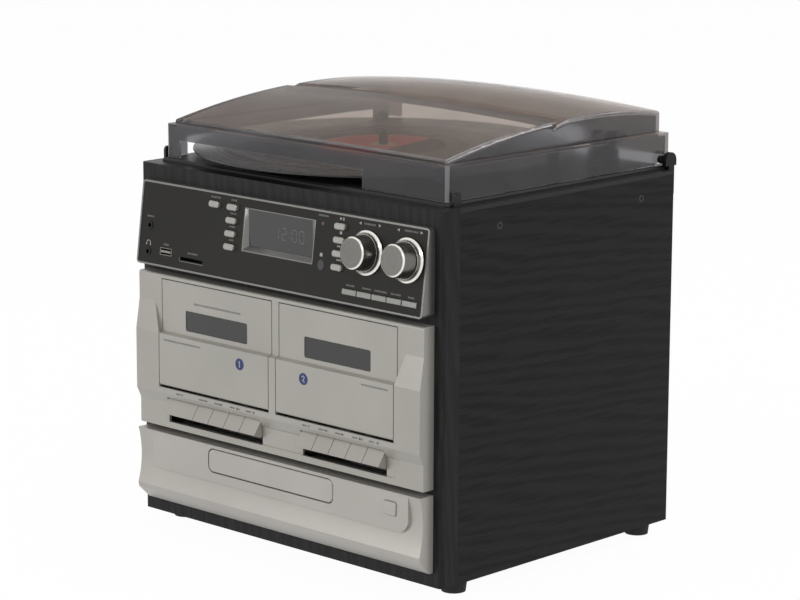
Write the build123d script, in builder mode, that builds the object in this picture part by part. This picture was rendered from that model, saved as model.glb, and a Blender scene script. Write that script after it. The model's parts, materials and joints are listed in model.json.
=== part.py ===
from build123d import *
import math
import os

# A free-standing stereo music centre: a black ash cabinet with a moulded front, a belt-driven
# turntable under a smoked dust cover, a leaning control panel, two cassette decks with piano keys
# and a CD drawer. Millimetres. +Z is up, +X is to the right seen from the front, and the front
# faces -Y. Heights named *_bottom and *_top are measured from the underside of the cabinet.

# ---- cabinet ----
cabinet_width = 325.0
cabinet_depth = 263.5
cabinet_height = 281.5
board = 12.0
base_board_thickness = 10.0
back_thickness = 3.0
frame_depth = 18.0
frame_wall = 3.0
frame_corner = 3.5
panel_margin = 8.2
panel_seat = 4.0

# ---- feet and side screws ----
foot_height = 10.0
foot_top_radius = 10.5
foot_bottom_radius = 9.2
foot_inset = 15.0
front_foot_y = 30.0
back_foot_inset = 18.5
screw_head_radius = 2.9
screw_head_depth = 2.0
screw_shank_radius = 1.6
screw_length = 16.0
screw_drop = 17.5
screw_front_y = 60.7
screw_back_inset = 39.3

# ---- turntable deck ----
deck_flange = 3.0
deck_thickness = 6.0
deck_skirt = 28.0
deck_skirt_thickness = 6.0
deck_platform = 3.0
platform_margin = 8.5
platform_front_y = 13.0
well_gap = 5.0
well_depth = 4.0
guide_height = 11.0
guide_length = 6.5
guide_thickness = 2.4
guide_y = 22.0
guide_inset = 7.0

# ---- platter, record and drive ----
platter_offset = -35.5
platter_shift = 11.75
platter_inset = 52.8
platter_height = 7.7
platter_web = 2.4
platter_rim = 2.0
mat_thickness = 2.0
mat_margin = 3.0
drive_rim_inset = 18.0
drive_rim_wall = 2.0
spindle_radius = 3.6
spindle_rise = 12.7
record_overhang = 23.8
record_thickness = 1.6
label_radius = 50.0
label_relief = 0.2
fit_gap = 0.06
bearing_radius = 8.0
bearing_length = 18.0
bearing_cap = 2.0
pulley_radius = 5.0
pulley_reach = 9.0
pulley_angle = -35.0
pulley_height = 4.4
belt_rise = 0.6
belt_thickness = 0.8
belt_width = 3.6
motor_radius = 15.0
motor_length = 20.0
motor_shaft_radius = 1.0

# ---- tonearm ----
arm_pivot_inset = 41.5
arm_pivot_back = 37.5
headshell_gap = 15.3
arm_tube_radius = 2.6
arm_rise = 14.5
arm_shaft_radius = 3.0
pivot_base_radius = 13.0
pivot_base_height = 6.0
yoke_width = 17.0
yoke_wall = 2.4
yoke_height = 15.0
axle_radius = 1.2
counterweight_radius = 6.5
counterweight_length = 12.0
counterweight_start = 9.0
headshell_width = 11.0
headshell_length = 24.0
headshell_thickness = 2.0
cartridge_width = 8.0
cartridge_length = 15.0
stylus_gap = 0.5
finger_length = 14.0
finger_width = 3.0
finger_inset = 6.0
rest_reach = 60.0
rest_width = 4.0
cue_inset = 24.0
cue_reach = 30.0
cue_lever_length = 26.0
cue_lever_lean = 43.0
switch_inset = 24.5
switch_y = 96.0
switch_travel = 12.0
switch_width = 6.0
switch_length = 8.0
switch_height = 4.0
switch_stem_radius = 1.3

# ---- dust cover ----
cover_margin = 11.7
cover_front_y = 16.3
cover_back_overhang = 7.0
cover_gap = 0.3
cover_wall = 2.4
cover_corner = 3.5
tip_length = 15.5
tip_height = 8.2
dome_round = 2.0
cutout_corner = 2.0
skirt_front_height = 26.6
skirt_back_height = 24.6
dome_inset = 5.3
dome_front_rise = 3.6
dome_kink_y = 83.0
dome_kink_rise = 13.8
channel_y = 142.0
channel_width = 15.0
channel_depth = 3.8
channel_front_rise = 19.0
channel_back_rise = 19.4
dome_top_y = 205.0
dome_top_rise = 19.6
dome_back_rise = 14.6
crown_front = 1.0
crown_kink = 2.6
crown_channel = 4.0
crown_top = 7.0
crown_back = 5.5
cutout_margin = 19.5
cutout_rise = 14.4
side_cutout_margin = 9.6
back_cutout_drop = 1.6
hinge_overhang = 2.5
hinge_rise = 3.5
hinge_pin_radius = 2.0
hinge_ear_radius = 6.5
hinge_ear_thickness = 3.6
hinge_plate_thickness = 3.0
hinge_strap_length = 6.0
hinge_bracket_height = 26.0
hinge_bracket_thickness = 6.5
hinge_bracket_width = 14.0
running_gap = 0.3
hinge_pin_gap = 0.08

# ---- control panel ----
control_bottom = 203.7
control_top = 269.1
control_bottom_depth = 13.7
control_top_depth = 5.2
surround_rim = 1.5
surround_wall = 2.4
surround_corner = 3.0
plate_recess = 0.4
face_plate = 2.0
boss_radius = 2.5
boss_reach = 22.3
boss_stagger = 5.0
left_boss_rises = (52.0, 28.0)
right_boss_rises = (58.0, 22.0)
pill_width = 11.0
pill_height = 5.0
pill_corner = 2.0
button_proud = 3.0
button_travel = 0.8
plunger_width = 3.2
switch_rise = 3.5
button_gap = 0.3
button_flange = 1.0
button_float = 0.1
button_play = 0.9
button_edge = 0.7
button_row_pitch = 10.15
button_row_top = 56.2
left_buttons_inset = 112.5
right_buttons_inset = 96.6
single_button_inset = 92.4
strip_button_width = 14.5
strip_button_height = 4.3
strip_button_proud = 1.4
strip_pitch = 15.24
strip_inset = 51.7
strip_rise = 9.3
knob_left_inset = 68.4
knob_right_inset = 27.3
knob_rise = 40.4
knob_skirt_radius = 16.6
knob_skirt_height = 2.2
knob_step_radius = 14.6
knob_base_radius = 13.2
knob_cap_radius = 12.0
knob_height = 16.6
knob_lift = 0.5
knob_shaft_radius = 3.0
knob_edge = 1.0
encoder_width = 11.0
shaft_reach = 8.5
control_board_gap = 10.0
board_thickness = 1.6
display_left_inset = 124.9
display_right_inset = 123.5
display_height = 33.5
display_rise = 41.05
glass_margin = 4.05
glass_bottom = 231.8
glass_top = 260.2
glass_depth = 5.4
glass_thickness = 1.6
bezel_wall = 1.2
bezel_rim = 0.8
jack_inset = 20.2
aux_rise = 31.0
headphone_rise = 10.2
jack_radius = 3.3
jack_bore_radius = 1.8
jack_length = 15.0
jack_proud = 0.6
usb_inset = 40.6
usb_rise = 12.4
usb_width = 13.2
usb_height = 5.8
usb_wall = 0.5
card_inset = 70.4
card_rise = 9.6
card_width = 26.0
card_height = 3.4
card_slot_height = 2.4
socket_depth = 12.0
infrared_inset = 114.7
infrared_rise = 25.2
infrared_width = 6.4
infrared_height = 7.6

# ---- cassette decks ----
tape_bottom = 74.4
tape_top = 197.3
tape_depth = 10.8
band_depth = 14.8
band_bottom = 103.0
band_top = 150.8
band_foot = 94.5
facet_top = 175.0
facet_width = 18.3
facet_taper = 8.0
fascia_wall = 2.4
fascia_round = 2.0
door_inset = 35.2
door_spacing = 8.6
door_gap = 0.7
door_bottom = 109.0
door_bottom_gap = 1.6
door_top = 193.4
pocket_lip = 1.6
door_wall = 2.2
door_foot_round = 2.0
door_pin_radius = 1.5
door_pin_back = 4.5
door_pin_rise = 4.3
door_pin_length = 2.6
door_window_width = 69.5
door_window_bottom = 155.8
door_window_height = 16.2
lens_inset = 0.6
lens_thickness = 1.4
cassette_width = 102.0
holder_wall = 2.0
holder_back = 3.2
holder_lip = 6.0
holder_height = 66.0
shelf_width = 15.0
key_pitch = 17.6
key_gap = 0.5
keys_bottom = 79.6
keys_top = 99.4
key_face_bottom = 88.0
key_root_bottom = 85.4
key_proud = 8.4
key_bank_1_shift = -2.2
key_bank_2_shift = 6.9
key_face_depth = 6.6
key_axis_y = 13.0
key_axis_rise = 92.0
key_boss_radius = 4.2
key_rod_radius = 1.5
key_rod_gap = 0.08
key_recess = 0.8
recess_length = 8.8
recess_slant = 6.0

# ---- tape and CD mechanisms ----
chassis_y = 22.0
chassis_sheet = 2.0
chassis_bottom = 73.5
chassis_top = 197.5
chassis_gap = 19.5
reel_spacing = 42.5
reel_rise = 38.0
reel_radius = 4.4
reel_end_y = -3.0
head_width = 12.0
head_bar_front = -4.0

# ---- CD drawer ----
cd_bottom = 11.0
cd_top = 70.2
cd_top_depth = 13.9
cd_waist = 49.0
cd_waist_depth = 10.9
cd_crease = 25.0
cd_crease_depth = 14.8
cd_foot_depth = 3.5
plateau_left_inset = 23.0
plateau_right_inset = 20.7
plateau_bottom = 40.5
plateau_depth = 13.6
plateau_corner = 11.0
plateau_slant = 12.0
plateau_slant_depth = 1.5
drawer_x = -4.4
drawer_width = 136.0
drawer_bottom = 48.8
drawer_height = 18.0
drawer_corner = 5.0
drawer_gap = 0.8
drawer_front = 3.0
drawer_proud = 0.4
tray_width = 132.0
tray_length = 140.0
tray_thickness = 8.4
tray_bottom = 51.0
disc_radius = 60.5
disc_well_depth = 4.8
disc_y = 52.0
eject_inset = 38.8
eject_rise = 57.4
eject_width = 12.4
eject_height = 10.6
eject_proud = 1.5
rail_length = 146.0
rail_thickness = 4.0
rail_ledge = 3.0
cd_deck_thickness = 2.0
post_radius = 4.0
post_inset = 5.0
hub_radius = 13.0

# ---- rear ----
vent_width = 2.6
vent_height = 34.0
vent_pitch = 7.0
vent_count = 12
vent_x = -75.0
vent_rise = 225.0
phono_x = -95.0
phono_rise = 60.0
phono_pitch = 14.0
phono_radius = 4.15
phono_collar_radius = 5.6
phono_bore_radius = 1.65
phono_length = 7.0
terminal_x = -30.0
terminal_width = 46.0
terminal_height = 24.0
inlet_x = 105.0
inlet_rise = 45.0
inlet_width = 19.0
inlet_height = 10.0
inlet_depth = 14.0

# ---- boards and transformer ----
control_board_left_gap = 24.0
control_board_right_gap = 2.0
main_board_gap = 13.5
main_board_width = 150.0
main_board_clearance = 15.5
transformer_gap = 14.5
transformer_inset = 68.5
transformer_width = 62.0
transformer_depth = 34.0
transformer_height = 52.0

# ---- worked out from the above ----
base = foot_height
top = foot_height + cabinet_height
inside_half_width = cabinet_width / 2 - board
panel_width = cabinet_width - 2 * panel_margin
half_panel = panel_width / 2
left_edge = -cabinet_width / 2
right_edge = cabinet_width / 2
back_foot_y = cabinet_depth - back_foot_inset
screw_back_y = cabinet_depth - screw_back_inset
cover_back_y = cabinet_depth + cover_back_overhang
hinge_y = cabinet_depth + hinge_overhang
platter_y = cabinet_depth / 2 + platter_shift
record_radius = platter_offset - left_edge + record_overhang
platter_radius = record_radius - platter_inset
mat_radius = platter_radius - mat_margin
well_radius = platter_radius + well_gap
drive_rim_radius = platter_radius - drive_rim_inset
pulley_distance = drive_rim_radius + pulley_reach
arm_pivot_offset = right_edge - arm_pivot_inset
arm_pivot_y = cabinet_depth - arm_pivot_back
arm_length = arm_pivot_y - cover_front_y - cover_wall - headshell_gap
rest_y = arm_pivot_y - rest_reach
cue_offset = right_edge - cue_inset
cue_y = arm_pivot_y - cue_reach
switch_offset = right_edge - switch_inset
left_buttons_x = left_edge + left_buttons_inset
right_buttons_x = right_edge - right_buttons_inset
single_button_x = left_edge + single_button_inset
strip_x = right_edge - strip_inset
knob_left_x = right_edge - knob_left_inset
knob_right_x = right_edge - knob_right_inset
display_x = (display_left_inset - display_right_inset) / 2
display_width = cabinet_width - display_left_inset - display_right_inset
glass_width = display_width - 2 * glass_margin
jack_x = left_edge + jack_inset
usb_x = left_edge + usb_inset
card_x = left_edge + card_inset
infrared_x = right_edge - infrared_inset
door_width = (cabinet_width - door_spacing) / 2 - door_inset
door_offset = (door_width + door_spacing) / 2
key_bank_1_x = -door_offset + key_bank_1_shift
key_bank_2_x = door_offset + key_bank_2_shift
plateau_left = left_edge + plateau_left_inset
plateau_right = right_edge - plateau_right_inset
eject_x = right_edge - eject_inset
chassis_width = 2 * (inside_half_width - chassis_gap)
control_board_width = 2 * inside_half_width - control_board_left_gap - control_board_right_gap
control_board_x = (control_board_left_gap - control_board_right_gap) / 2
main_board_depth = (
    cabinet_depth - back_thickness - frame_depth / 2 - rail_length - main_board_clearance
)
main_board_x = main_board_gap + main_board_width / 2 - inside_half_width
transformer_x = inside_half_width - transformer_gap - transformer_width / 2
transformer_y = cabinet_depth - transformer_inset
platform_top = top + deck_platform
well_floor = platform_top - well_depth
platter_base = well_floor + 0.5
mat_top = platter_base + platter_height + mat_thickness
record_top = mat_top + record_thickness
control_run = control_bottom_depth - control_top_depth
control_length = math.hypot(control_top - control_bottom, control_run)
control_lean = math.degrees(math.atan2(control_run, control_top - control_bottom))
cover_base = platform_top + cover_gap
cover_half_width = cabinet_width / 2 - cover_margin
side_chord = math.sqrt(record_radius**2 - (cover_half_width + platter_offset) ** 2)
front_chord = math.sqrt(record_radius**2 - (platter_y - cover_front_y) ** 2)
side_cutout_half_length = side_chord + side_cutout_margin
cutout_half_width = front_chord + cutout_margin
skirt_top = cover_base + skirt_front_height
skirt_back = cover_base + skirt_back_height
hinge_z = cover_base + hinge_rise
cue_axis_z = platform_top + pivot_base_height / 2
arm_z = platform_top + pivot_base_height + arm_rise
tray_top = base + tray_bottom + tray_thickness

# The origin is at floor level under the middle of everything that the outline covers: the record
# overhangs on the left, the knobs in front and the record again at the back.
reach_left = min(platter_offset - record_radius, -cabinet_width / 2)
reach_right = cabinet_width / 2
lean_sine = math.sin(math.radians(control_lean))
lean_cosine = math.cos(math.radians(control_lean))
knob_front_depth = (knob_lift + knob_height) * lean_cosine + knob_cap_radius * lean_sine
reach_front = -(control_bottom_depth - knob_rise * lean_sine + knob_front_depth)
reach_back = max(platter_y + record_radius, cabinet_depth + hinge_bracket_thickness)
centre_x = -(reach_left + reach_right) / 2
front_y = -(reach_front + reach_back) / 2


def facing_up(z):
    """Level plane at height z: local x from the cabinet's centre line, local y from its front."""
    return Plane(origin=(centre_x, front_y, z), x_dir=(1, 0, 0), z_dir=(0, 0, 1))


def facing_front(y):
    """Upright plane at depth y behind the cabinet's front: local x as above, local y is height."""
    return Plane(origin=(centre_x, front_y + y, 0), x_dir=(1, 0, 0), z_dir=(0, -1, 0))


def facing_right(x):
    """Upright plane at x from the centre line: local x is depth, local y is height."""
    return Plane(origin=(centre_x + x, front_y, 0), x_dir=(0, 1, 0), z_dir=(1, 0, 0))


def on_panel(outward=0.0):
    """The leaning face of the control panel: local y climbs the panel from its lower edge."""
    normal = Vector(0, -lean_cosine, lean_sine)
    foot = Vector(centre_x, front_y - control_bottom_depth, base + control_bottom)
    return Plane(origin=foot + normal * outward, x_dir=(1, 0, 0), z_dir=normal)


os.makedirs("parts", exist_ok=True)

# ---------------------------------------------------------------- cabinet

with BuildPart() as front_frame:
    with BuildSketch(facing_up(base)) as frame_plan:
        with Locations((0, frame_depth / 2)):
            Rectangle(cabinet_width, frame_depth)
        fillet(frame_plan.vertices().group_by(Axis.Y)[0], frame_corner)
        with Locations((0, frame_wall + frame_depth / 2)):
            Rectangle(cabinet_width - 2 * frame_wall, frame_depth, mode=Mode.SUBTRACT)
    extrude(amount=cabinet_height)
    with BuildSketch(facing_front(0)):
        for low, high in (
            (control_bottom, control_top),
            (tape_bottom, tape_top),
            (cd_bottom, cd_top),
        ):
            with Locations((0, base + (low + high) / 2)):
                Rectangle(panel_width - 2 * panel_seat, high - low - 2 * panel_seat)
    extrude(amount=-frame_wall, mode=Mode.SUBTRACT)
front_frame.part.label = "front_frame"
export_step(front_frame.part, "parts/front_frame.step")

screw_places = [(y, top - screw_drop) for y in (screw_front_y, screw_back_y)]

with BuildPart() as side_panels:
    with BuildSketch(facing_up(base)):
        for side in (-1, 1):
            with Locations(((cabinet_width - board) / 2 * side, (frame_depth + cabinet_depth) / 2)):
                Rectangle(board, cabinet_depth - frame_depth)
    extrude(amount=cabinet_height - deck_flange)
    for side in (-1, 1):
        with BuildSketch(facing_right(side * cabinet_width / 2)):
            with Locations(*screw_places):
                Circle(screw_head_radius + 2 * fit_gap)
        extrude(amount=-side * (screw_head_depth + fit_gap), mode=Mode.SUBTRACT)
        with BuildSketch(facing_right(side * cabinet_width / 2)):
            with Locations(*screw_places):
                Circle(screw_shank_radius + fit_gap)
        extrude(amount=-side * board, mode=Mode.SUBTRACT)
side_panels.part.label = "side_panels"
export_step(side_panels.part, "parts/side_panels.step")

with BuildPart() as base_board:
    with BuildSketch(facing_up(base)):
        with Locations((0, (frame_wall + cabinet_depth - back_thickness) / 2)):
            Rectangle(2 * inside_half_width, cabinet_depth - back_thickness - frame_wall)
    extrude(amount=base_board_thickness)
base_board.part.label = "base_board"
export_step(base_board.part, "parts/base_board.step")

with BuildPart() as back_panel:
    with BuildSketch(facing_front(cabinet_depth)):
        with Locations((0, base + (cabinet_height - deck_flange) / 2)):
            Rectangle(2 * inside_half_width, cabinet_height - deck_flange)
    extrude(amount=back_thickness)
    with BuildSketch(facing_front(cabinet_depth)):
        for row in (0, 1):
            rise = base + vent_rise - row * (vent_height + vent_pitch)
            with Locations((vent_x, rise), (-vent_x, rise)):
                with GridLocations(vent_pitch, 1, vent_count, 1):
                    Rectangle(vent_width, vent_height)
        with Locations((phono_x, base + phono_rise)):
            with GridLocations(phono_pitch, 1, 2, 1):
                Circle(phono_collar_radius + fit_gap)
        with Locations((terminal_x, base + phono_rise)):
            Rectangle(terminal_width - 6, terminal_height - 6)
        with Locations((inlet_x, base + inlet_rise)):
            Rectangle(inlet_width + 2 * fit_gap, inlet_height + 2 * fit_gap)
    extrude(amount=back_thickness, mode=Mode.SUBTRACT)
back_panel.part.label = "back_panel"
export_step(back_panel.part, "parts/back_panel.step")

with BuildPart() as feet:
    foot_x = cabinet_width / 2 - foot_inset
    for y in (front_foot_y, back_foot_y):
        for side in (-1, 1):
            with BuildSketch(facing_up(0)):
                with Locations((side * foot_x, y)):
                    Circle(foot_bottom_radius)
            with BuildSketch(facing_up(foot_height)):
                with Locations((side * foot_x, y)):
                    Circle(foot_top_radius)
            loft(ruled=True)
feet.part.label = "feet"
export_step(feet.part, "parts/feet.step")

with BuildPart() as screws:
    for side in (-1, 1):
        with BuildSketch(facing_right(side * cabinet_width / 2)):
            with Locations(*screw_places):
                Circle(screw_head_radius)
                Rectangle(3.4, 0.8, mode=Mode.SUBTRACT)
                Rectangle(0.8, 3.4, mode=Mode.SUBTRACT)
        extrude(amount=-side * 1.0)
        with BuildSketch(facing_right(side * (cabinet_width / 2 - 1.0))):
            with Locations(*screw_places):
                Circle(screw_head_radius)
        extrude(amount=-side * (screw_head_depth - 1.0))
        with BuildSketch(facing_right(side * (cabinet_width / 2 - screw_head_depth))):
            with Locations(*screw_places):
                Circle(screw_shank_radius)
        extrude(amount=-side * (screw_length - screw_head_depth))
screws.part.label = "screws"
export_step(screws.part, "parts/screws.step")

# ---------------------------------------------------------------- turntable deck

pulley_x = platter_offset + pulley_distance * math.cos(math.radians(pulley_angle))
pulley_y = platter_y + pulley_distance * math.sin(math.radians(pulley_angle))

with BuildPart() as turntable_deck:
    # the plate that drops inside the frame and the boards
    with BuildSketch(facing_up(top - deck_thickness)):
        with Locations((0, (frame_wall + frame_depth) / 2)):
            Rectangle(cabinet_width - 2 * frame_wall, frame_depth - frame_wall)
        with Locations((0, (frame_depth + cabinet_depth - back_thickness) / 2)):
            Rectangle(2 * inside_half_width, cabinet_depth - back_thickness - frame_depth)
    extrude(amount=deck_thickness)
    # skirts inside the boards that the side screws bite into
    with BuildSketch(facing_up(top - deck_thickness)):
        for side in (-1, 1):
            with Locations((side * (inside_half_width - deck_skirt_thickness / 2), cabinet_depth / 2)):
                Rectangle(deck_skirt_thickness, cabinet_depth - 2 * frame_depth)
    extrude(amount=deck_thickness - deck_skirt)
    # the flange that covers the boards
    with BuildSketch(facing_up(top - deck_flange)):
        with Locations((0, (frame_depth + cabinet_depth) / 2)):
            Rectangle(cabinet_width, cabinet_depth - frame_depth)
    extrude(amount=deck_flange)
    # the raised platform that the dust cover stands on
    with BuildSketch(facing_up(top)) as platform_plan:
        with Locations((0, (platform_front_y + cabinet_depth) / 2)):
            Rectangle(cabinet_width - 2 * platform_margin, cabinet_depth - platform_front_y)
        fillet(platform_plan.vertices().group_by(Axis.Y)[0], frame_corner)
    extrude(amount=deck_platform)
    platform_edge = faces().group_by(Axis.Z)[-1].edges().filter_by(GeomType.LINE)
    chamfer(platform_edge.filter_by(Axis.X).group_by(Axis.Y)[0], deck_platform / 2)
    # platter well, bearing boss, arm boss
    with BuildSketch(facing_up(platform_top)):
        with Locations((platter_offset, platter_y)):
            Circle(well_radius)
    extrude(amount=-well_depth, mode=Mode.SUBTRACT)
    with BuildSketch(facing_up(well_floor)):
        with Locations((platter_offset, platter_y)):
            Circle(bearing_radius)
    extrude(amount=-bearing_length)
    with BuildSketch(facing_up(platform_top)):
        with Locations((arm_pivot_offset, arm_pivot_y)):
            Circle(pivot_base_radius)
        with Locations((arm_pivot_offset, rest_y)):
            Rectangle(2 * rest_width, 2 * rest_width)
        with Locations((cue_offset, cue_y)):
            Rectangle(2 * rest_width, 3 * rest_width)
    extrude(amount=pivot_base_height)
    # arm rest post with a seat that is open on the inward side
    with BuildSketch(facing_front(rest_y)):
        seat = arm_z - arm_tube_radius - running_gap
        stem_foot = platform_top + pivot_base_height
        with Locations((arm_pivot_offset, (stem_foot + seat) / 2)):
            Rectangle(1.6 * rest_width, seat - stem_foot)
        outer = arm_pivot_offset + arm_tube_radius + running_gap
        with Locations((outer + 0.8, (stem_foot + arm_z) / 2)):
            Rectangle(1.6, arm_z - stem_foot)
    extrude(amount=rest_width / 2, both=True)
    for side in (-1, 1):
        with BuildSketch(facing_right(side * inside_half_width)):
            with Locations(*screw_places):
                Circle(screw_shank_radius + fit_gap)
        extrude(amount=-side * (screw_length - board), mode=Mode.SUBTRACT)
    # upright guides beside the dust cover's front corners
    for side in (-1, 1):
        with BuildSketch(facing_right(side * (cabinet_width / 2 - guide_inset))):
            with Locations((guide_y, top + (guide_height - guide_length / 2) / 2)):
                Rectangle(guide_length, guide_height - guide_length / 2)
            with Locations((guide_y, top + guide_height - guide_length / 2)):
                Circle(guide_length / 2)
        extrude(amount=guide_thickness / 2, both=True)
    # bores: spindle bearing, motor shaft, arm pivot, cue shaft slot and speed switch slot
    with BuildSketch(facing_up(well_floor)):
        with Locations((platter_offset, platter_y)):
            Circle(spindle_radius + fit_gap)
    extrude(amount=-(bearing_length - bearing_cap), mode=Mode.SUBTRACT)
    with BuildSketch(facing_up(well_floor)):
        with Locations((pulley_x, pulley_y)):
            Circle(pulley_radius + 1)
    extrude(amount=-deck_thickness, mode=Mode.SUBTRACT)
    with BuildSketch(facing_up(platform_top + pivot_base_height)):
        with Locations((arm_pivot_offset, arm_pivot_y)):
            Circle(arm_shaft_radius + fit_gap)
    extrude(amount=-(pivot_base_height + deck_platform + deck_thickness), mode=Mode.SUBTRACT)
    with BuildSketch(facing_up(platform_top)):
        with Locations((switch_offset, switch_y)):
            SlotCenterToCenter(switch_travel, 3.0, rotation=90)
    extrude(amount=-(deck_platform + deck_thickness), mode=Mode.SUBTRACT)
    with BuildSketch(facing_up(platform_top + pivot_base_height)):
        with Locations((cue_offset, cue_y)):
            Rectangle(rest_width, 4 * rest_width)
    extrude(amount=-pivot_base_height, mode=Mode.SUBTRACT)
    with BuildSketch(facing_right(cue_offset)):
        with Locations((cue_y, cue_axis_z)):
            Circle(axle_radius + fit_gap)
    extrude(amount=2 * rest_width, both=True, mode=Mode.SUBTRACT)
turntable_deck.part.label = "turntable_deck"
export_step(turntable_deck.part, "parts/turntable_deck.step")

with BuildPart() as platter:
    # section turned about the spindle: web, rim, drive rim and spindle in one profile
    with BuildSketch(facing_right(platter_offset)):
        web_bottom = platter_base + platter_height - platter_web
        spindle_foot = well_floor - bearing_length + bearing_cap + fit_gap
        spindle_top = record_top + spindle_rise
        with BuildLine():
            Polyline(
                (platter_y, spindle_foot),
                (platter_y + spindle_radius, spindle_foot),
                (platter_y + spindle_radius, platter_base),
                (platter_y + 2.6 * spindle_radius, platter_base),
                (platter_y + 2.6 * spindle_radius, web_bottom),
                (platter_y + drive_rim_radius - drive_rim_wall, web_bottom),
                (platter_y + drive_rim_radius - drive_rim_wall, platter_base),
                (platter_y + drive_rim_radius, platter_base),
                (platter_y + drive_rim_radius, web_bottom),
                (platter_y + platter_radius - platter_rim, web_bottom),
                (platter_y + platter_radius - platter_rim, platter_base),
                (platter_y + platter_radius, platter_base),
                (platter_y + platter_radius, web_bottom + platter_web),
                (platter_y + spindle_radius, web_bottom + platter_web),
                (platter_y + spindle_radius, spindle_top - spindle_radius),
                (platter_y + spindle_radius / 2, spindle_top - spindle_radius / 4),
                (platter_y, spindle_top),
                close=True,
            )
        make_face()
    platter_axis = Axis((centre_x + platter_offset, front_y + platter_y, 0), (0, 0, 1))
    revolve(axis=platter_axis)
    with BuildSketch(facing_up(platter_base + platter_height)):
        with Locations((platter_offset, platter_y)):
            Circle(mat_radius)
            Circle(spindle_radius, mode=Mode.SUBTRACT)
    extrude(amount=mat_thickness)
platter.part.label = "platter"
export_step(platter.part, "parts/platter.step")

with BuildPart() as record:
    with BuildSketch(facing_up(mat_top)):
        with Locations((platter_offset, platter_y)):
            Circle(record_radius)
    extrude(amount=record_thickness)
    chamfer(edges().filter_by(GeomType.CIRCLE).sort_by(Axis.Z), record_thickness / 4)
    with BuildSketch(facing_up(record_top)):
        with Locations((platter_offset, platter_y)):
            Circle(label_radius)
    extrude(amount=label_relief)
    with BuildSketch(facing_up(record_top + label_relief)):
        with Locations((platter_offset, platter_y)):
            Circle(spindle_radius + fit_gap)
    extrude(amount=-(record_thickness + label_relief), mode=Mode.SUBTRACT)
record.part.label = "record"
export_step(record.part, "parts/record.step")

belt_base = platter_base + belt_rise
motor_top = top - deck_thickness

with BuildPart() as motor_pulley:
    with BuildSketch(facing_up(belt_base)):
        with Locations((pulley_x, pulley_y)):
            Circle(pulley_radius)
    extrude(amount=pulley_height)
    with BuildSketch(facing_up(belt_base)):
        with Locations((pulley_x, pulley_y)):
            Circle(motor_shaft_radius)
    extrude(amount=-(belt_base - motor_top) - 4)
motor_pulley.part.label = "motor_pulley"
export_step(motor_pulley.part, "parts/motor_pulley.step")

with BuildPart() as drive_belt:
    with BuildSketch(facing_up(belt_base)) as belt_outline:
        with Locations((platter_offset, platter_y)):
            Circle(drive_rim_radius + belt_thickness + fit_gap)
        with Locations((pulley_x, pulley_y)):
            Circle(pulley_radius + belt_thickness + fit_gap)
        make_hull()
        offset(amount=-belt_thickness, mode=Mode.SUBTRACT)
    extrude(amount=belt_width)
drive_belt.part.label = "drive_belt"
export_step(drive_belt.part, "parts/drive_belt.step")

with BuildPart() as turntable_motor:
    with BuildSketch(facing_up(motor_top)):
        with Locations((pulley_x, pulley_y)):
            Circle(motor_radius)
    extrude(amount=-motor_length)
    with BuildSketch(facing_up(motor_top)):
        with Locations((pulley_x, pulley_y)):
            SlotCenterToCenter(2 * motor_radius + 8, 9)
    extrude(amount=-2)
    with BuildSketch(facing_up(motor_top)):
        with Locations((pulley_x, pulley_y)):
            Circle(motor_shaft_radius + fit_gap)
    extrude(amount=-motor_length / 2, mode=Mode.SUBTRACT)
turntable_motor.part.label = "turntable_motor"
export_step(turntable_motor.part, "parts/turntable_motor.step")

# ---------------------------------------------------------------- tonearm

yoke_base = platform_top + pivot_base_height + running_gap

with BuildPart() as tonearm_pivot:
    with BuildSketch(facing_up(yoke_base)):
        with Locations((arm_pivot_offset, arm_pivot_y)):
            Circle(pivot_base_radius - 1)
    extrude(amount=arm_rise - yoke_height / 2 - running_gap)
    with BuildSketch(facing_front(arm_pivot_y)):
        with Locations((arm_pivot_offset, arm_z)):
            Rectangle(yoke_width, yoke_height)
            Rectangle(yoke_width - 2 * yoke_wall, yoke_height, mode=Mode.SUBTRACT)
        with Locations((arm_pivot_offset, arm_z - yoke_height / 2 + yoke_wall / 2)):
            Rectangle(yoke_width, yoke_wall)
    extrude(amount=5, both=True)
    with BuildSketch(facing_up(yoke_base)):
        with Locations((arm_pivot_offset, arm_pivot_y)):
            Circle(arm_shaft_radius)
    extrude(amount=-(pivot_base_height + deck_platform))
    with BuildSketch(facing_right(arm_pivot_offset)):
        with Locations((arm_pivot_y, arm_z)):
            Circle(axle_radius + fit_gap)
    extrude(amount=yoke_width, both=True, mode=Mode.SUBTRACT)
tonearm_pivot.part.label = "tonearm_pivot"
export_step(tonearm_pivot.part, "parts/tonearm_pivot.step")

head_y = arm_pivot_y - arm_length
shell_z = arm_z - 1.5
cartridge_bottom = record_top + label_relief + stylus_gap + 1.6

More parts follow.
